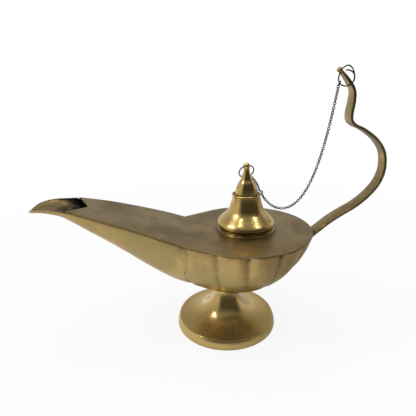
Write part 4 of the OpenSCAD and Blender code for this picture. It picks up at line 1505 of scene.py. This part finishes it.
class LAMP_OT_wick(LampOperator, bpy.types.Operator):
    """Braided cotton wick from the mouth down into the oil, charred at its end"""

    bl_idname = "lamp.wick"
    bl_label = "Wick"

    def execute(self, context):
        in_spout = [
            (-150.5, 10.5, 7), (-147, 9, 5.6), (-141, 6.5, 4.6), (-132, 3.5, 4.1), (-120, 1.2, 4),
            (-106, 0, 4), (-90, 0, 4), (-75, 0, 4), (-60, 0, 4.6), (-50, 0, 6),
        ]
        in_bowl = [
            (-41, 0, 64.5), (-32, 2, 64), (-23, 5, 60), (-14, 8, 54.5), (-4, 11, 52.9),
            (8, 13, 52.9),
        ]
        line = [
            (x, y, smooth(BEAK, x, 3) + mm("spout_wall") + lift) for x, y, lift in in_spout
        ] + in_bowl
        last = len(line) - 1
        steps, sides, r = 560, 48, mm("wick_r")
        path = [along(line, last * i / steps) for i in range(steps + 1)]
        verts, faces = tube(path, r - 0.25, sides, Vector((0, 1, 0)))
        run = 0.0
        for i in range(steps + 1):
            if i:
                run += (path[i] - path[i - 1]).length
            for k in range(sides):
                v = i * sides + k
                a = 2 * math.pi * k / sides
                one = math.sin(4 * a + run * 1.5)
                two = math.sin(4 * a - run * 1.5)
                strand = 0.22 * max(one, two) ** 2 - 0.05
                spoke = verts[v] - path[i]
                frayed = 0.25 * eased((4 - run) / 4) * noise.noise(verts[v] * 1.7)
                verts[v] = path[i] + spoke * (1 + (strand + frayed) / r)
        material, w, shader = new_material("Charred cotton")
        place = w.place()
        x = w.split(place)[0]
        fuzz = w.noise(place, 900.0, 4.0)
        near = w.spread(w.plus(x, w.times(fuzz, 0.006)), -0.143, -0.128, 1.0, 0.0)
        oiled = w.mix(w.spread(fuzz, 0.35, 0.65, 0.1, 0.6), tint("cotton"), tint("plate"))
        ash = w.mix(w.spread(w.noise(place, 500.0, 3.0), 0.45, 0.7), tint("soot"), tint("wire"))
        w.put(w.mix(near, oiled, ash), shader.inputs["Base Color"])
        shader.inputs["Roughness"].default_value = 0.9
        w.bumped(fuzz, 1.0, shader)
        shape = (verts, faces)
        piece("wick_cord", shape, "lamp", material, "wick", 60)
        return {"FINISHED"}


class LAMP_OT_inner_fixings(LampOperator, bpy.types.Operator):
    """Finishes for the screw and washer that hold the foot"""

    bl_idname = "lamp.inner_fixings"
    bl_label = "Screw and washer"

    def execute(self, context):
        steel = brass(
            "Turned steel", "steel", "steel_dark", "tarnish", 0.35, 0.15, rubbed=0.2, axis_x=0.0,
            pitch=1500.0,
        )
        fibre, w, shader = new_material("Vulcanised fibre")
        place = w.place()
        flecks = w.spread(w.noise(w.scaled(place, (700, 700, 200)), 1.0, 3.0), 0.35, 0.65)
        w.put(w.mix(flecks, tint("fibre_dark"), tint("fibre")), shader.inputs["Base Color"])
        w.put(w.spread(flecks, 0, 1, 0.55, 0.75), shader.inputs["Roughness"])
        for node, material in (("foot_screw", steel), ("sealing_washer", fibre)):
            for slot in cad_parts[node].material_slots:
                slot.material = material
        return {"FINISHED"}


class LAMP_PT_panel(bpy.types.Panel):
    """Sizes, colours and the steps that build the lamp"""

    bl_idname = "LAMP_PT_panel"
    bl_label = "Oil Lamp"
    bl_space_type = "VIEW_3D"
    bl_region_type = "UI"
    bl_category = "Oil Lamp"

    def draw(self, context):
        layout = self.layout
        for operator in OPERATORS:
            layout.operator(operator.bl_idname)
        for settings in (context.scene.lamp_sizes, context.scene.lamp_colours):
            box = layout.box()
            for key in settings.__annotations__:
                box.prop(settings, key)


OPERATORS = (
    LAMP_OT_stage, LAMP_OT_foot, LAMP_OT_bowl, LAMP_OT_spout, LAMP_OT_top_plate, LAMP_OT_neck,
    LAMP_OT_stopper, LAMP_OT_rings, LAMP_OT_chain, LAMP_OT_handle, LAMP_OT_wick,
    LAMP_OT_inner_fixings,
)
CLASSES = (LampSizes, LampColours) + OPERATORS + (LAMP_PT_panel,)


def register():
    for cls in CLASSES:
        bpy.utils.register_class(cls)
    bpy.types.Scene.lamp_sizes = PointerProperty(type=LampSizes)
    bpy.types.Scene.lamp_colours = PointerProperty(type=LampColours)


def unregister():
    del bpy.types.Scene.lamp_colours
    del bpy.types.Scene.lamp_sizes
    for cls in reversed(CLASSES):
        bpy.utils.unregister_class(cls)


def main():
    register()
    for operator in OPERATORS:
        getattr(bpy.ops.lamp, operator.bl_idname.split(".")[1])()


if __name__ == "__main__":
    main()
